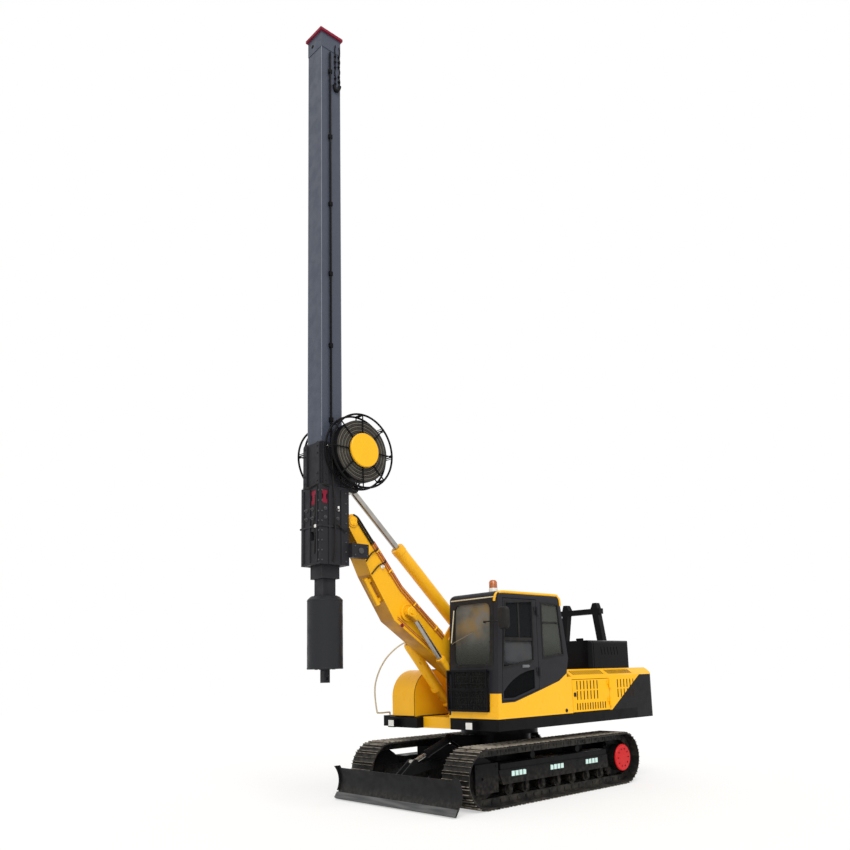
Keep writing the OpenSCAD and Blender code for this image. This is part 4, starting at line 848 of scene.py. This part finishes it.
HOSE_TURNS = 11
FIRST_TURN_R = 0.172
TURN_STEP = 0.024
WOUND_FACES = (0.272, 0.378)
REEL_PAIR = 0.050
REEL_BAR_R = 0.006
FLANGE_IN = 0.02
FLANGE_RING = (0.205, 0.007)
PAD_SINK = 0.004
PAD_T = 0.055
FRONT_PAD = ((0.011, 4.041), (0.114, 4.234))
SIDE_PAD = ((3.421, 4.051), (3.507, 4.234))
DOGBONE = (
    (0, 0), (1, 0), (1, 0.26), (0.74, 0.36), (0.74, 0.64), (1, 0.74),
    (1, 1), (0, 1), (0, 0.74), (0.2, 0.64), (0.2, 0.36), (0, 0.26),
)
GUIDE_BOLT_Z = (3.29, 3.42, 3.55, 3.68, 3.81, 3.94, 4.08, 4.22)
GUIDE_BOLT_Y = (-0.195, 0.195)
GUIDE_BOLT_X = (3.125, 3.515)
SCREW_Z = (3.86, 3.98)
SCREW_Y = (-0.085, 0.06)
SCREW_X = (3.26, 3.46)
BLOCK_AT = (2.93, 0.300, 3.445)
BLOCK_BOLTS = (0.10, 0.06)
SHOE_FOOT_Z = 4.31
SHOE_TOP_Z = 4.86
SHOE_BOLT_Z = (4.36, 4.46, 4.74, 4.84)
FRONT_SHOES = ((-0.185, -0.105), (0.105, 0.185))
FRONT_SHOE = (3.510, 0.026)
SIDE_SHOES = ((3.135, 3.195), (3.405, 3.485))
SIDE_SHOE = (0.200, 0.022)


def reel_windings(side, name):
    """Flat turns of hose on both faces of a reel, every other one paler as a painted sheen along the turns.
    """
    # The paler turns are painted highlight
    for first, material, thick in ((0, "hose", 0.012), (1, "hose_light", 0.0105)):
        shape = Shape()
        for face in WOUND_FACES:
            for i in range(first, HOSE_TURNS, 2):
                centre = (REEL_AT[0], side * face, REEL_AT[1])
                shape.ring(centre, LEFT, FIRST_TURN_R + i * TURN_STEP, thick, 56)
        shape.piece(name + "_" + material, name, material)


def reel_frame(side, name):
    """The doubled bars that tie a reel's two flanges, and the inner rings of the flanges."""
    shape = Shape()
    hub = Vector((REEL_AT[0], 0, REEL_AT[1]))
    faces = [LEFT * side * y for y in (REEL_FACES[0] + FLANGE_IN, REEL_FACES[1] - FLANGE_IN)]
    for c, s in circle(REEL_SPOKES):
        rim = hub + Vector((c, 0, s)) * REEL_RIM
        across = Vector((-s, 0, c)) * REEL_PAIR
        for half in (-0.5, 0.5):
            shape.tube([rim + face + across * half for face in faces], REEL_BAR_R, 8)
    for face in faces:
        shape.ring(hub + face, LEFT, *FLANGE_RING)
    shape.piece(name + "_frame", name, "black_paint")


def dogbone(shape, place, axis, back, face):
    """A wear pad's red keeper: a block with a narrow waist."""
    (x0, z0), (x1, z1) = place
    outline = [(x0 + u * (x1 - x0), z0 + v * (z1 - z0)) for u, v in DOGBONE]
    shape.prism(outline, axis, min(back, face), max(back, face))


def mast_pads():
    pads = Shape()
    face = HOUSING_FRONT - PAD_SINK
    dogbone(pads, FRONT_PAD, "x", face - PAD_T, face)
    for side in SIDES:
        face = HOUSING_SIDE - PAD_SINK
        dogbone(pads, SIDE_PAD, "y", side * (face - PAD_T), side * face)
    pads.piece("mast_red_pads", "mast", "crimson", 0.003)


def mast_bolts():
    """Bolts round the guide sections, the adjusting screws of the pads, and the side blocks' bolts."""
    shape = Shape()
    for z in GUIDE_BOLT_Z:
        shape.bolts([(HOUSING_FRONT, y, z) for y in GUIDE_BOLT_Y], AHEAD, 0.013, 0.012)
        for side in SIDES:
            shape.bolts([(x, side * HOUSING_SIDE, z) for x in GUIDE_BOLT_X], LEFT * side, 0.013, 0.012)
    for z in SCREW_Z:
        for y in SCREW_Y:
            shape.screw((HOUSING_FRONT, y, z), AHEAD, (0.026, 0.016), (0.012, 0.022))
        for side in SIDES:
            for x in SCREW_X:
                shape.screw((x, side * HOUSING_SIDE, z), LEFT * side, (0.026, 0.014), (0.012, 0.018))
    x, y, z = BLOCK_AT
    dx, dz = BLOCK_BOLTS
    for side in SIDES:
        shape.disc((x, side * y, z), LEFT * side, 0.042, 0.014, 24, 0.004)
        corners = [(x + u, side * y, z + v) for u in (-dx, dx) for v in (-dz, dz)]
        shape.bolts(corners, LEFT * side, 0.012, 0.010)
    shape.piece("mast_bolts", "mast", "bolt_grey")


def guide_bars():
    """Guide shoes with rounded tops on the sleeve over the housing."""
    shape = Shape()
    def bar(low, high, axis, at, out):
        middle, half = (low + high) / 2, (high - low) / 2
        turns = spread(0.0, math.pi, 9)
        top = [(middle + half * math.cos(t), SHOE_TOP_Z + half * math.sin(t)) for t in turns]
        outline = [(low, SHOE_FOOT_Z), (high, SHOE_FOOT_Z), *top]
        shape.prism(outline, axis, min(at, at + out), max(at, at + out))
    for low, high in FRONT_SHOES:
        bar(low, high, "x", *FRONT_SHOE)
    for low, high in SIDE_SHOES:
        for side in SIDES:
            bar(low, high, "y", side * SIDE_SHOE[0], side * SIDE_SHOE[1])
    front, flank = sum(FRONT_SHOE), sum(SIDE_SHOE)
    shape.bolts([(front, y, z) for y in (-0.145, 0.145) for z in SHOE_BOLT_Z], AHEAD, 0.014, 0.012)
    for side in SIDES:
        places = [(x, side * flank, z) for x in (3.165, 3.445) for z in SHOE_BOLT_Z]
        shape.bolts(places, LEFT * side, 0.012, 0.009)
    shape.piece("mast_guide_bars", "mast", "housing_black", 0.004)


HOSE_DOWN = (
    (3.335, 0.187, 4.93), (3.338, 0.214, 4.90), (3.350, 0.226, 4.70), (3.338, 0.228, 4.42),
    (3.325, 0.243, 4.15), (3.318, 0.247, 3.80), (3.312, 0.246, 3.45), (3.335, 0.236, 3.28),
)
HOSE_ACROSS = (
    (3.335, 0.234, 3.76), (3.27, 0.244, 3.775), (3.19, 0.248, 3.72), (3.12, 0.242, 3.70),
    (3.075, 0.236, 3.745),
)
HOSE_FRONT = (
    (3.545, 0.165, 4.28), (3.552, 0.13, 4.10), (3.552, 0.125, 3.93), (3.566, 0.10, 3.76),
    (3.552, 0.115, 3.62), (3.548, 0.10, 3.38),
)
HOSE_COLLAR = (
    (3.520, -0.19, 4.32), (3.552, -0.14, 4.30), (3.556, 0.0, 4.285), (3.548, 0.15, 4.305),
    (3.49, 0.226, 4.30), (3.40, 0.230, 4.285),
)


def mast_hoses():
    """Hoses clipped to the housing."""
    shape = Shape()
    hoses = ((HOSE_DOWN, 0.011), (HOSE_ACROSS, 0.010), (HOSE_FRONT, 0.009), (HOSE_COLLAR, 0.010))
    for line, radius in hoses:
        shape.cord(line, radius)
    shape.piece("mast_hoses", "mast", "rubber")


ROPES = ((3.232, 10.34, 0.012), (3.166, 10.42, -0.014))
ROPE_TOP = 11.080
ROPE_R = 0.008
KNOT_R = 0.020
KNOT_HALF_H = 0.022
MAST_EDGE_Z = (4.98, 11.10)


def mast_ropes():
    """Two knotted ropes under the cap with a lump at the end, a black disc of painted shade for the lifting
    hole, and pale strips of painted highlight along the mast's edges.
    """
    shape = Shape()
    face = MAST_HALF_W + 0.012
    for x, low, swing in ROPES:
        heights = spread(ROPE_TOP, low, 9)
        shape.cord([(x + (swing if i % 2 else 0), face, z) for i, z in enumerate(heights)], ROPE_R, 5, 8)
        for z in heights[2:7:2] + heights[3:8:4]:
            ends = [(x, face - 0.006, z + h) for h in (-KNOT_HALF_H, KNOT_HALF_H)]
            shape.tube([ends[0], (x + 0.004, face, z), ends[1]], [ROPE_R, KNOT_R, ROPE_R])
    lump = [(3.155, face, 10.43), (3.185, face + 0.004, 10.355), (3.235, face + 0.004, 10.325),
            (3.262, face, 10.40)]
    shape.cord(lump, 0.024, 6, 12)
    # Painted shade: a black disc stands for the dark inside of the lifting hole
    shape.disc((MAST_FRONT + 0.006, -0.055, 11.067), AHEAD, 0.028, 0.002, 24)
    shape.piece("mast_ropes", "mast", "rope_black")
    # Painted highlight: pale strips down the mast's four corners
    edges = Shape()
    for x in (MAST_FRONT, 2 * MAST_X - MAST_FRONT):
        for side in SIDES:
            edges.tube([(x, side * MAST_HALF_W, z) for z in MAST_EDGE_Z], 0.004, 8)
    edges.piece("mast_edge_highlights", "mast", "slate_worn")


def white_spots():
    """Grease nipple guards and a valve body, painted white."""
    shape = Shape()
    shape.disc((3.428, 0.222, 4.835), LEFT, 0.020, 0.012, 16, 0.004)
    shape.box((HOUSING_FRONT, 0.105, 3.725), (HOUSING_FRONT + 0.020, 0.150, 3.765))
    shape.box((3.238, HOUSING_SIDE, 3.96), (3.262, HOUSING_SIDE + 0.018, 4.03))
    shape.piece("mast_white_caps", "mast", "white_paint", 0.004)


def drive_head_rims():
    """Weld rims round the drive head, and the bolts on its ends."""
    low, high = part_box("drive_head")
    middle = (low + high) / 2
    radius = (high.x - low.x) / 2
    shape = Shape()
    for z in (low.z + 0.012, high.z - 0.055):
        shape.ring((middle.x, middle.y, z), UP, radius - 0.002, 0.006, 64)
    for reach, z, out, bolt in ((0.125, low.z, -UP, (0.011, 0.006)), (0.165, high.z, UP, (0.014, 0.012))):
        shape.bolts([(middle.x + reach * c, reach * s, z) for c, s in circle(12)], out, *bolt)
    shape.piece("drive_head_rims", "arm_2", "drum_paint")


# Boom

BOOM_SIDE = 0.150
TOP_EDGE = [(1.30, 2.320), (2.10, 3.000), (2.63, 3.640)]
LOW_EDGE = [(0.90, 1.640), (1.50, 2.050), (2.18, 2.515)]
TOP_SQUARE = (0.72, -0.69)
PIPE_DROPS = (0.004, 0.044)
TOP_PIPE_Y = (0.096, 0.128)
TOP_PIPE_OUT = 0.024
TOP_PIPE_END = (2.576, 3.628)
LOW_PIPE_LIFTS = (0.045, 0.075)
CLIP_SPOTS = ((1.45, 2.4475), (1.85, 2.7875), (2.30, 3.2415), (2.52, 3.507))
CLIP_DROPS = (-0.012, 0.060)
HEAD_HOSE = [(2.60, 3.604), (2.66, 3.675), (2.76, 3.795), (2.83, 3.880)]
STRAPS = (((2.545, 3.515), (2.735, 3.335)), ((2.405, 3.350), (2.640, 3.165)))
HEAD = (2.960, 3.870)
BOOM_FOOT = (0.52, 1.56)
TILT_BASE = (0.85, 2.50)
PIN_CAPS = ((BOOM_FOOT, 0.183, 0.072), (HEAD, 0.165, 0.062), (TILT_BASE, 0.085, 0.056))
PIN_CAP_T = 0.014
CAP_BOLT_TURNS = (0.5, 2.6, 4.7)
BOOM_EYE = Vector((2.010, 0.228, 2.655))
BOOM_BASE = Vector((0.880, 0.228, 1.330))
EYE_R = 0.070
EYE_HALF_W = 0.040
BOSS_Y = 0.183
BOSS_R = 0.112


def beside(line, drop, y):
    """Points on a side of the boom, moved square from an edge line towards its middle."""
    return [(x + TOP_SQUARE[0] * drop, y, z + TOP_SQUARE[1] * drop) for x, z in line]


def boom_pipes():
    """Red-brown hydraulic pipes along the upper and the lower edge of the boom's sides."""
    shape, clips = Shape(), Shape()
    for side in SIDES:
        for drop in PIPE_DROPS:
            shape.tube(beside(TOP_EDGE, drop, side * (BOOM_SIDE + 0.010)), 0.0095)
        for y in TOP_PIPE_Y:
            line = [(x - TOP_PIPE_OUT, z + TOP_PIPE_OUT) for x, z in TOP_EDGE[:2]] + [TOP_PIPE_END]
            shape.tube([(x, side * y, z) for x, z in line], 0.0135)
        for lift in LOW_PIPE_LIFTS:
            shape.tube([(x, side * BOOM_SIDE, z + lift) for x, z in LOW_EDGE], 0.007)
        for spot in CLIP_SPOTS:
            ends = [beside([spot], drop, side * (BOOM_SIDE + 0.018))[0] for drop in CLIP_DROPS]
            clips.tube(ends, 0.013, 8)
    shape.piece("boom_pipes", "boom", "pipe_paint")
    clips.piece("boom_pipe_clips", "boom", "boom_paint")


def boom_hoses():
    """Black hoses from the pipes over the boom head, and the straps round the boom."""
    shape = Shape()
    for side in SIDES:
        y = side * (BOOM_SIDE + 0.014)
        for drop in PIPE_DROPS:
            over = [(2.885 + drop * 0.5, y, 3.938 - drop), (2.95, side * (BOOM_SIDE + 0.012), 3.965 - drop)]
            shape.cord(beside(HEAD_HOSE, drop, y) + over, 0.0135)
    for (x0, z0), (x1, z1) in STRAPS:
        line = [(x0, -0.155, z0), (x0 - 0.02, -0.10, z0 + 0.045), (x0 - 0.02, 0.10, z0 + 0.045),
                (x0, 0.178, z0), ((x0 + x1) / 2, 0.166, (z0 + z1) / 2 + 0.03), (x1, 0.156, z1)]
        shape.cord(line, 0.009)
    shape.piece("boom_hoses", "boom", "rubber")


def boom_caps():
    """Keeper plates on the ends of the boom's pins, the ring round each boss, and small caps."""
    shape, white = Shape(), Shape()
    for side in SIDES:
        away = LEFT * side
        for (x, z), y, radius in PIN_CAPS:
            shape.disc((x, side * y, z), away, radius, PIN_CAP_T, 32, 0.004)
            reach, face = radius * 0.6, side * (y + PIN_CAP_T)
            spots = [(x + reach * math.cos(t), face, z + reach * math.sin(t)) for t in CAP_BOLT_TURNS]
            shape.bolts(spots, away, 0.009, 0.007)
        shape.ring((BOOM_EYE.x, side * BOSS_Y, BOOM_EYE.z), LEFT, BOSS_R, 0.008)
        white.screw((2.449, side * BOOM_SIDE, 3.28), away, (0.030, 0.020), (0.014, 0.030), 16, 0.006)
    shape.piece("boom_pin_caps", "boom", "yellow_paint")
    white.piece("boom_fitting_caps", "boom", "white_paint")
    red = Shape().disc((2.106, BOOM_SIDE, 2.470), LEFT, 0.026, 0.020, 16, 0.006)
    red.piece("boom_red_cap", "boom", "crimson")


# Cab front and body trim

FRONT_LEAN = 0.072
WINDSCREEN = ((0.400, 1.870), (1.165, 2.775))
GUARD_WIRES = (34, 6)
GUARD_WIRE_R = 0.0021
SIDE_SLOTS = (
    (-0.890, -0.380, 1.500, 1.620, 7), (-0.890, -0.380, 1.350, 1.470, 7),
    (-1.080, -0.370, 1.200, 1.290, 12),
)
PANEL_SLOTS = ((-1.880, -1.440, 1.500, 1.620, 6), (-1.880, -1.440, 1.350, 1.470, 6))
SHOULDER_SLOTS = ((-1.118, -0.369, 14), (-1.900, -1.275, 14))
SHOULDER_FACE = ((1.228, 1.7147), (1.137, 1.7753), (1.1382, 1.7772), (1.2292, 1.7166))
SLOT_HALF_W = 0.011
SLOT_LIP = 0.0015
SLOT_LAP = 0.004
LATCH = ((-0.345, 1.395), (-0.295, 1.455))
LATCH_T = 0.010
BOX_FOOT = ((1.372, -0.955, 1.166), (1.372, -0.455, 1.166), (1.02, -0.446, 1.166), (0.30, -0.446, 1.166))


def front_x(z):
    """X of the cab's leaning front face at a height."""
    low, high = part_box("cab_front")
    return high.x - FRONT_LEAN * (z - low.z) / (high.z - low.z)


def round_rect(low, high, radius, steps=8):
    """A rectangle with round corners, anticlockwise."""
    points = []
    centre = ((low[0] + high[0]) / 2, (low[1] + high[1]) / 2)
    corners = (high, (low[0], high[1]), low, (high[0], low[1]))
    for start, corner in enumerate(corners):
        mx, my = [c + math.copysign(radius, m - c) for c, m in zip(corner, centre)]
        for i in range(steps + 1):
            t = math.pi / 2 * (start + i / steps)
            points.append((mx + radius * math.cos(t), my + radius * math.sin(t)))
    return points


def windscreen_frame():
    """Black rubber round the windscreen, wide at the door's side and with large round corners."""
    (left, foot), (right, top) = WINDSCREEN
    inner = round_rect((left + 0.022, foot + 0.020), (right - 0.050, top - 0.022), 0.095)
    outer = round_rect((left - 0.014, foot - 0.014), (right + 0.014, top + 0.012), 0.060)
    section = ((outer, -0.004), (outer, 0.004), (inner, 0.007), (inner, -0.012))
    shape = Shape().frame([[(front_x(z) + out, y, z) for y, z in outline] for outline, out in section])
    shape.piece("windscreen_frame", "upper", "rubber")


def cab_front_trim():
    """Wiper, cream strip and gutter at the windscreen, and the fine wires of the guard."""
    wiper = Shape().tube([(front_x(2.20) + 0.016, 0.380, 2.200), (front_x(2.22) + 0.022, 0.435, 2.224),
                          (front_x(2.35) + 0.014, 0.795, 2.349)], 0.0055)
    wiper.piece("cab_wiper", "upper", "wiper_grey")
    strip = Shape().tube([(front_x(z) + 0.006, y, z) for y, z in ((0.352, 2.217), (0.404, 2.685))], 0.009)
    strip.piece("windscreen_strip", "upper", "cream_paint")
    low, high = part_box("cab_roof")
    rail = Shape().tube([(high.x + 0.002, y, low.z) for y in (low.y + 0.03, high.y - 0.03)], 0.009)
    rail.piece("cab_gutter", "upper", "cream_paint")
    wires = Shape()
    low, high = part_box("windscreen_guard")
    x = high.x - 0.006
    upright, level = GUARD_WIRES
    for y in spread(low.y, high.y, upright + 1)[1:-1]:
        wires.tube([(x, y, low.z + 0.01), (x, y, high.z - 0.01)], GUARD_WIRE_R, 5)
    for z in spread(low.z, high.z, level + 1)[1:-1]:
        wires.tube([(x + 0.003, low.y + 0.01, z), (x + 0.003, high.y - 0.01, z)], GUARD_WIRE_R, 5)
    wires.piece("guard_wires", "upper", "black_paint")


def slot_fills(rows, side):
    """Dark strips in the slots of a side panel, with a narrow lip on its face; their dark is painted shade
    for the openings.
    """
    low, high = sorted((side * (CAB_SIDE_Y + SLOT_LIP), side * (CAB_SIDE_Y - 0.001)))
    shape = Shape()
    for x0, x1, z0, z1, count in rows:
        for x in spread(x0, x1, count):
            shape.box((x - SLOT_HALF_W, low, z0 - SLOT_LAP), (x + SLOT_HALF_W, high, z1 + SLOT_LAP))
    return shape


def louvres():
    # Painted shade: the louvre slots are dark strips laid on the panels
    for side, name in NAMED_SIDES:
        slot_fills(SIDE_SLOTS, side).piece("door_slots_" + name, "side_door_" + name, "slot_dark")
        slot_fills(PANEL_SLOTS, side).piece("panel_slots_" + name, "upper", "slot_dark")
        shape = Shape()
        face = [(side * y, z) for y, z in SHOULDER_FACE]
        for x0, x1, count in SHOULDER_SLOTS:
            for x in spread(x0, x1, count):
                shape.prism(face, "x", x - SLOT_HALF_W, x + SLOT_HALF_W)
        shape.piece("shoulder_slots_" + name, "upper", "slot_dark")


def body_trim():
    """Latches of the side doors, a cap on each side, and the dome box's foot line."""
    dark = Shape()
    (x0, z0), (x1, z1) = LATCH
    for side, name in NAMED_SIDES:
        face = side * CAB_SIDE_Y
        low, high = sorted((face, face + side * LATCH_T))
        latch = Shape().box((x0, low, z0), (x1, high, z1))
        latch.piece("door_latch_" + name, "side_door_" + name, "rubber", 0.003)
        dark.disc((-0.10, face, 1.205), LEFT * side, 0.026, 0.012, 20, 0.004)
    dark.tube(BOX_FOOT, 0.006, 6)
    dark.piece("body_caps", "upper", "rubber")


GUARD_OUTLINE = (
    (-1.78, 0.40), (-1.78, 0.56), (-1.70, 0.655), (-1.02, 0.655), (-0.94, 0.58), (-0.94, 0.46),
    (-1.40, 0.40),
)
GUARD_Y = (0.712, 0.728)
GUARD_LIP = ((0.712, 0.639), (0.64, 0.60), (0.64, 0.585), (0.712, 0.624))
GUARD_LIP_X = (-1.68, -1.04)
# Black plates that also stand for the shade under the machine
CHAIN_GUARD_SHADE = ((-1.60, 0.872, 0.126), (1.42, 0.880, 0.30))


def motor_guards():
    """Bent plates that cover the travel motors on the inner side of the tracks."""
    shape = Shape()
    for side in SIDES:
        shape.prism(GUARD_OUTLINE, "y", *sorted(side * y for y in GUARD_Y))
        shape.prism([(side * y, z) for y, z in GUARD_LIP], "x", *GUARD_LIP_X)
    shape.piece("motor_guards", "undercarriage", "black_paint", 0.004)


def boom_rod_eyes():
    """The painted eye ends of the boom rods."""
    shape = Shape()
    for side in SIDES:
        eye = BOOM_EYE * Vector((1, side, 1))
        down = (BOOM_BASE * Vector((1, side, 1)) - eye).normalized()
        away = LEFT * side
        rim = EYE_R + 0.008
        across = (0.003 - EYE_HALF_W, EYE_HALF_W - 0.006, EYE_HALF_W + 0.006)
        shape.tube([eye + away * y for y in across], [rim, rim, EYE_R - 0.004], 40)
        shape.disc(eye + away * across[-1], away, 0.034, 0.008, 24, 0.003)
        shape.tube([eye + down * d for d in (0.05, 0.13, 0.15)], [0.060, 0.056, 0.047], 28)
    shape.piece("boom_rod_eyes", "boom_rods", "boom_paint")


SLEEVE_R = 0.080
SLEEVE_IN = 0.162
SLEEVE_BORE = 0.046
SLEEVE = (0.30, 1.20)


def boom_sleeve():
    """The thick hollow sleeve round the right boom cylinder, with a collar at its foot and a round top."""
    base = Vector((BOOM_BASE.x, 0, BOOM_BASE.z))
    run = (Vector((BOOM_EYE.x, 0, BOOM_EYE.z)) - base).normalized()
    up = run.cross(LEFT)
    def section(along, radius, middle_y):
        middle = base + run * along - LEFT * middle_y
        return [middle + (LEFT * c + up * s) * radius for c, s in circle(40)]
    foot, top = SLEEVE
    collar = SLEEVE_R + 0.010
    outer = ((foot, collar), (foot + 0.055, collar), (foot + 0.060, SLEEVE_R), (top - 0.050, SLEEVE_R),
             (top - 0.015, SLEEVE_R * 0.92), (top, SLEEVE_R * 0.75))
    rings = [section(along, radius, SLEEVE_IN + max(radius, SLEEVE_R)) for along, radius in outer]
    rings += [section(along, SLEEVE_BORE, BOOM_BASE.y) for along in (top, foot)]
    Shape().loft(rings, closed=True).piece("boom_sleeve", "boom_barrels", "yellow_paint")


MIRROR_HALF = (0.090, 0.150)
MIRROR_CORNER = 0.060
MIRROR_GLASS = (0.078, 0.136)
MIRROR_ARM_Y = 1.03


def mirror_cover():
    """A round-edged housing over the mirror's plate, with glass at its rear and an arm to the cab."""
    low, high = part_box("rear_view_mirror")
    y, z = high.y - 0.080, (low.z + high.z) / 2
    def outline(half_w, half_h, radius):
        return round_rect((y - half_w, z - half_h), (y + half_w, z + half_h), radius)
    rings = []
    for out, by in ((-0.036, 0.0), (0.004, 0.0), (0.022, 0.012), (0.030, 0.034)):
        rounded = outline(MIRROR_HALF[0] - by, MIRROR_HALF[1] - by, MIRROR_CORNER - by * 0.5)
        rings.append([(high.x + out, u, v) for u, v in rounded])
    shape = Shape().loft(rings)
    cab_x = front_x(2.48)
    arm = [(high.x - 0.02, y - 0.06, z - 0.03), (high.x - 0.06, 1.25, z - 0.028),
           (cab_x + 0.03, MIRROR_ARM_Y, z - 0.03)]
    shape.cord(arm, 0.008, 6)
    shape.disc((cab_x + 0.004, MIRROR_ARM_Y, z - 0.03), AHEAD, 0.016, 0.034, 12, 0.004)
    shape.piece("mirror_housing", "upper", "rubber")
    glass = Shape().prism(outline(*MIRROR_GLASS, 0.050), "x", high.x - 0.039, high.x - 0.034)
    glass.piece("mirror_glass", "upper", "mirror")


HANDRAIL = (
    (1.270, 1.160), (1.270, 1.195), (1.290, 1.210), (1.490, 1.210), (1.532, 1.250), (1.566, 1.560),
    (1.500, 1.800), (1.352, 2.020), (1.160, 2.180), (0.949, 2.290), (0.700, 2.340), (0.560, 2.290),
    (0.500, 2.150), (0.500, 1.800), (0.500, 1.160),
)


def smooth_handrail():
    """The handrail as one smoothly bent pipe."""
    low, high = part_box("handrail")
    y = (low.y + high.y) / 2
    shape = Shape().cord([(x, y, z) for x, z in HANDRAIL], 0.0125, 8, 14)
    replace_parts(shape.piece("handrail_pipe", "upper", "cream_paint"), "handrail")


LEVER_X = 1.12
LEVER_Y = (0.710, 0.870)
LEVER_Z = (1.30, 1.74)
KNOB = ((0.0, 0.020), (0.02, 0.026), (0.09, 0.026), (0.105, 0.012))


def cab_levers():
    """Pale sleeves and dark knobs on the travel levers, seen through the lower windscreen."""
    pale, knobs = Shape(), Shape()
    for y in LEVER_Y:
        pale.tube([(LEVER_X, y, z) for z in LEVER_Z], 0.018, 16)
        knobs.turned((LEVER_X, y, LEVER_Z[1]), KNOB, 20)
    pale.piece("lever_sleeves", "upper", "white_paint")
    knobs.piece("lever_knobs", "upper", "rubber")


BOX_NOSE = 0.400
SEAM_REAR = 0.30


def front_box_seam():
    """The dark joint round the front plate of the domed box, on its inner side."""
    low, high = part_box("front_box")
    y = high.y
    x, z = high.x - BOX_NOSE, high.z - BOX_NOSE
    arc = [(x + BOX_NOSE * math.cos(t), y, z + BOX_NOSE * math.sin(t)) for t in spread(0.0, math.pi / 2, 13)]
    line = [(high.x, y, low.z + 0.004), *arc, (low.x + SEAM_REAR, y, high.z)]
    Shape().tube(line, 0.0045, 6).piece("front_box_seam", "upper", "slot_dark")


def chain_guard_shades():
    """Plates beside the bottom rollers, on the inner side of each chain: part guard, part black sheet of
    painted shade that closes the view through to the floor.
    """
    shape = Shape()
    (x0, inner, z0), (x1, outer, z1) = CHAIN_GUARD_SHADE
    for side in SIDES:
        low, high = sorted((side * inner, side * outer))
        shape.box((x0, low, z0), (x1, high, z1))
    shape.piece("chain_guard_shades", "undercarriage", "black_paint")


make_camera()
make_world()
make_floor()
make_sun()
bpy.context.scene.view_settings.view_transform = "Standard"
materials = make_materials()
dress_nodes()
for side, name in NAMED_SIDES:
    track_links(side, "track_links_" + name)
    track_frame_details(side, "track_frame_" + name)
    reel_windings(side, "reel_" + name)
    reel_frame(side, "reel_" + name)
drive_cover_bolts()
door_trim()
cab_trim()
lamps()
beacon_dome()
mast_pads()
mast_bolts()
guide_bars()
mast_hoses()
mast_ropes()
white_spots()
drive_head_rims()
boom_pipes()
boom_hoses()
boom_caps()
windscreen_frame()
cab_front_trim()
louvres()
body_trim()
motor_guards()
boom_rod_eyes()
boom_sleeve()
mirror_cover()
smooth_handrail()
cab_levers()
front_box_seam()
chain_guard_shades()
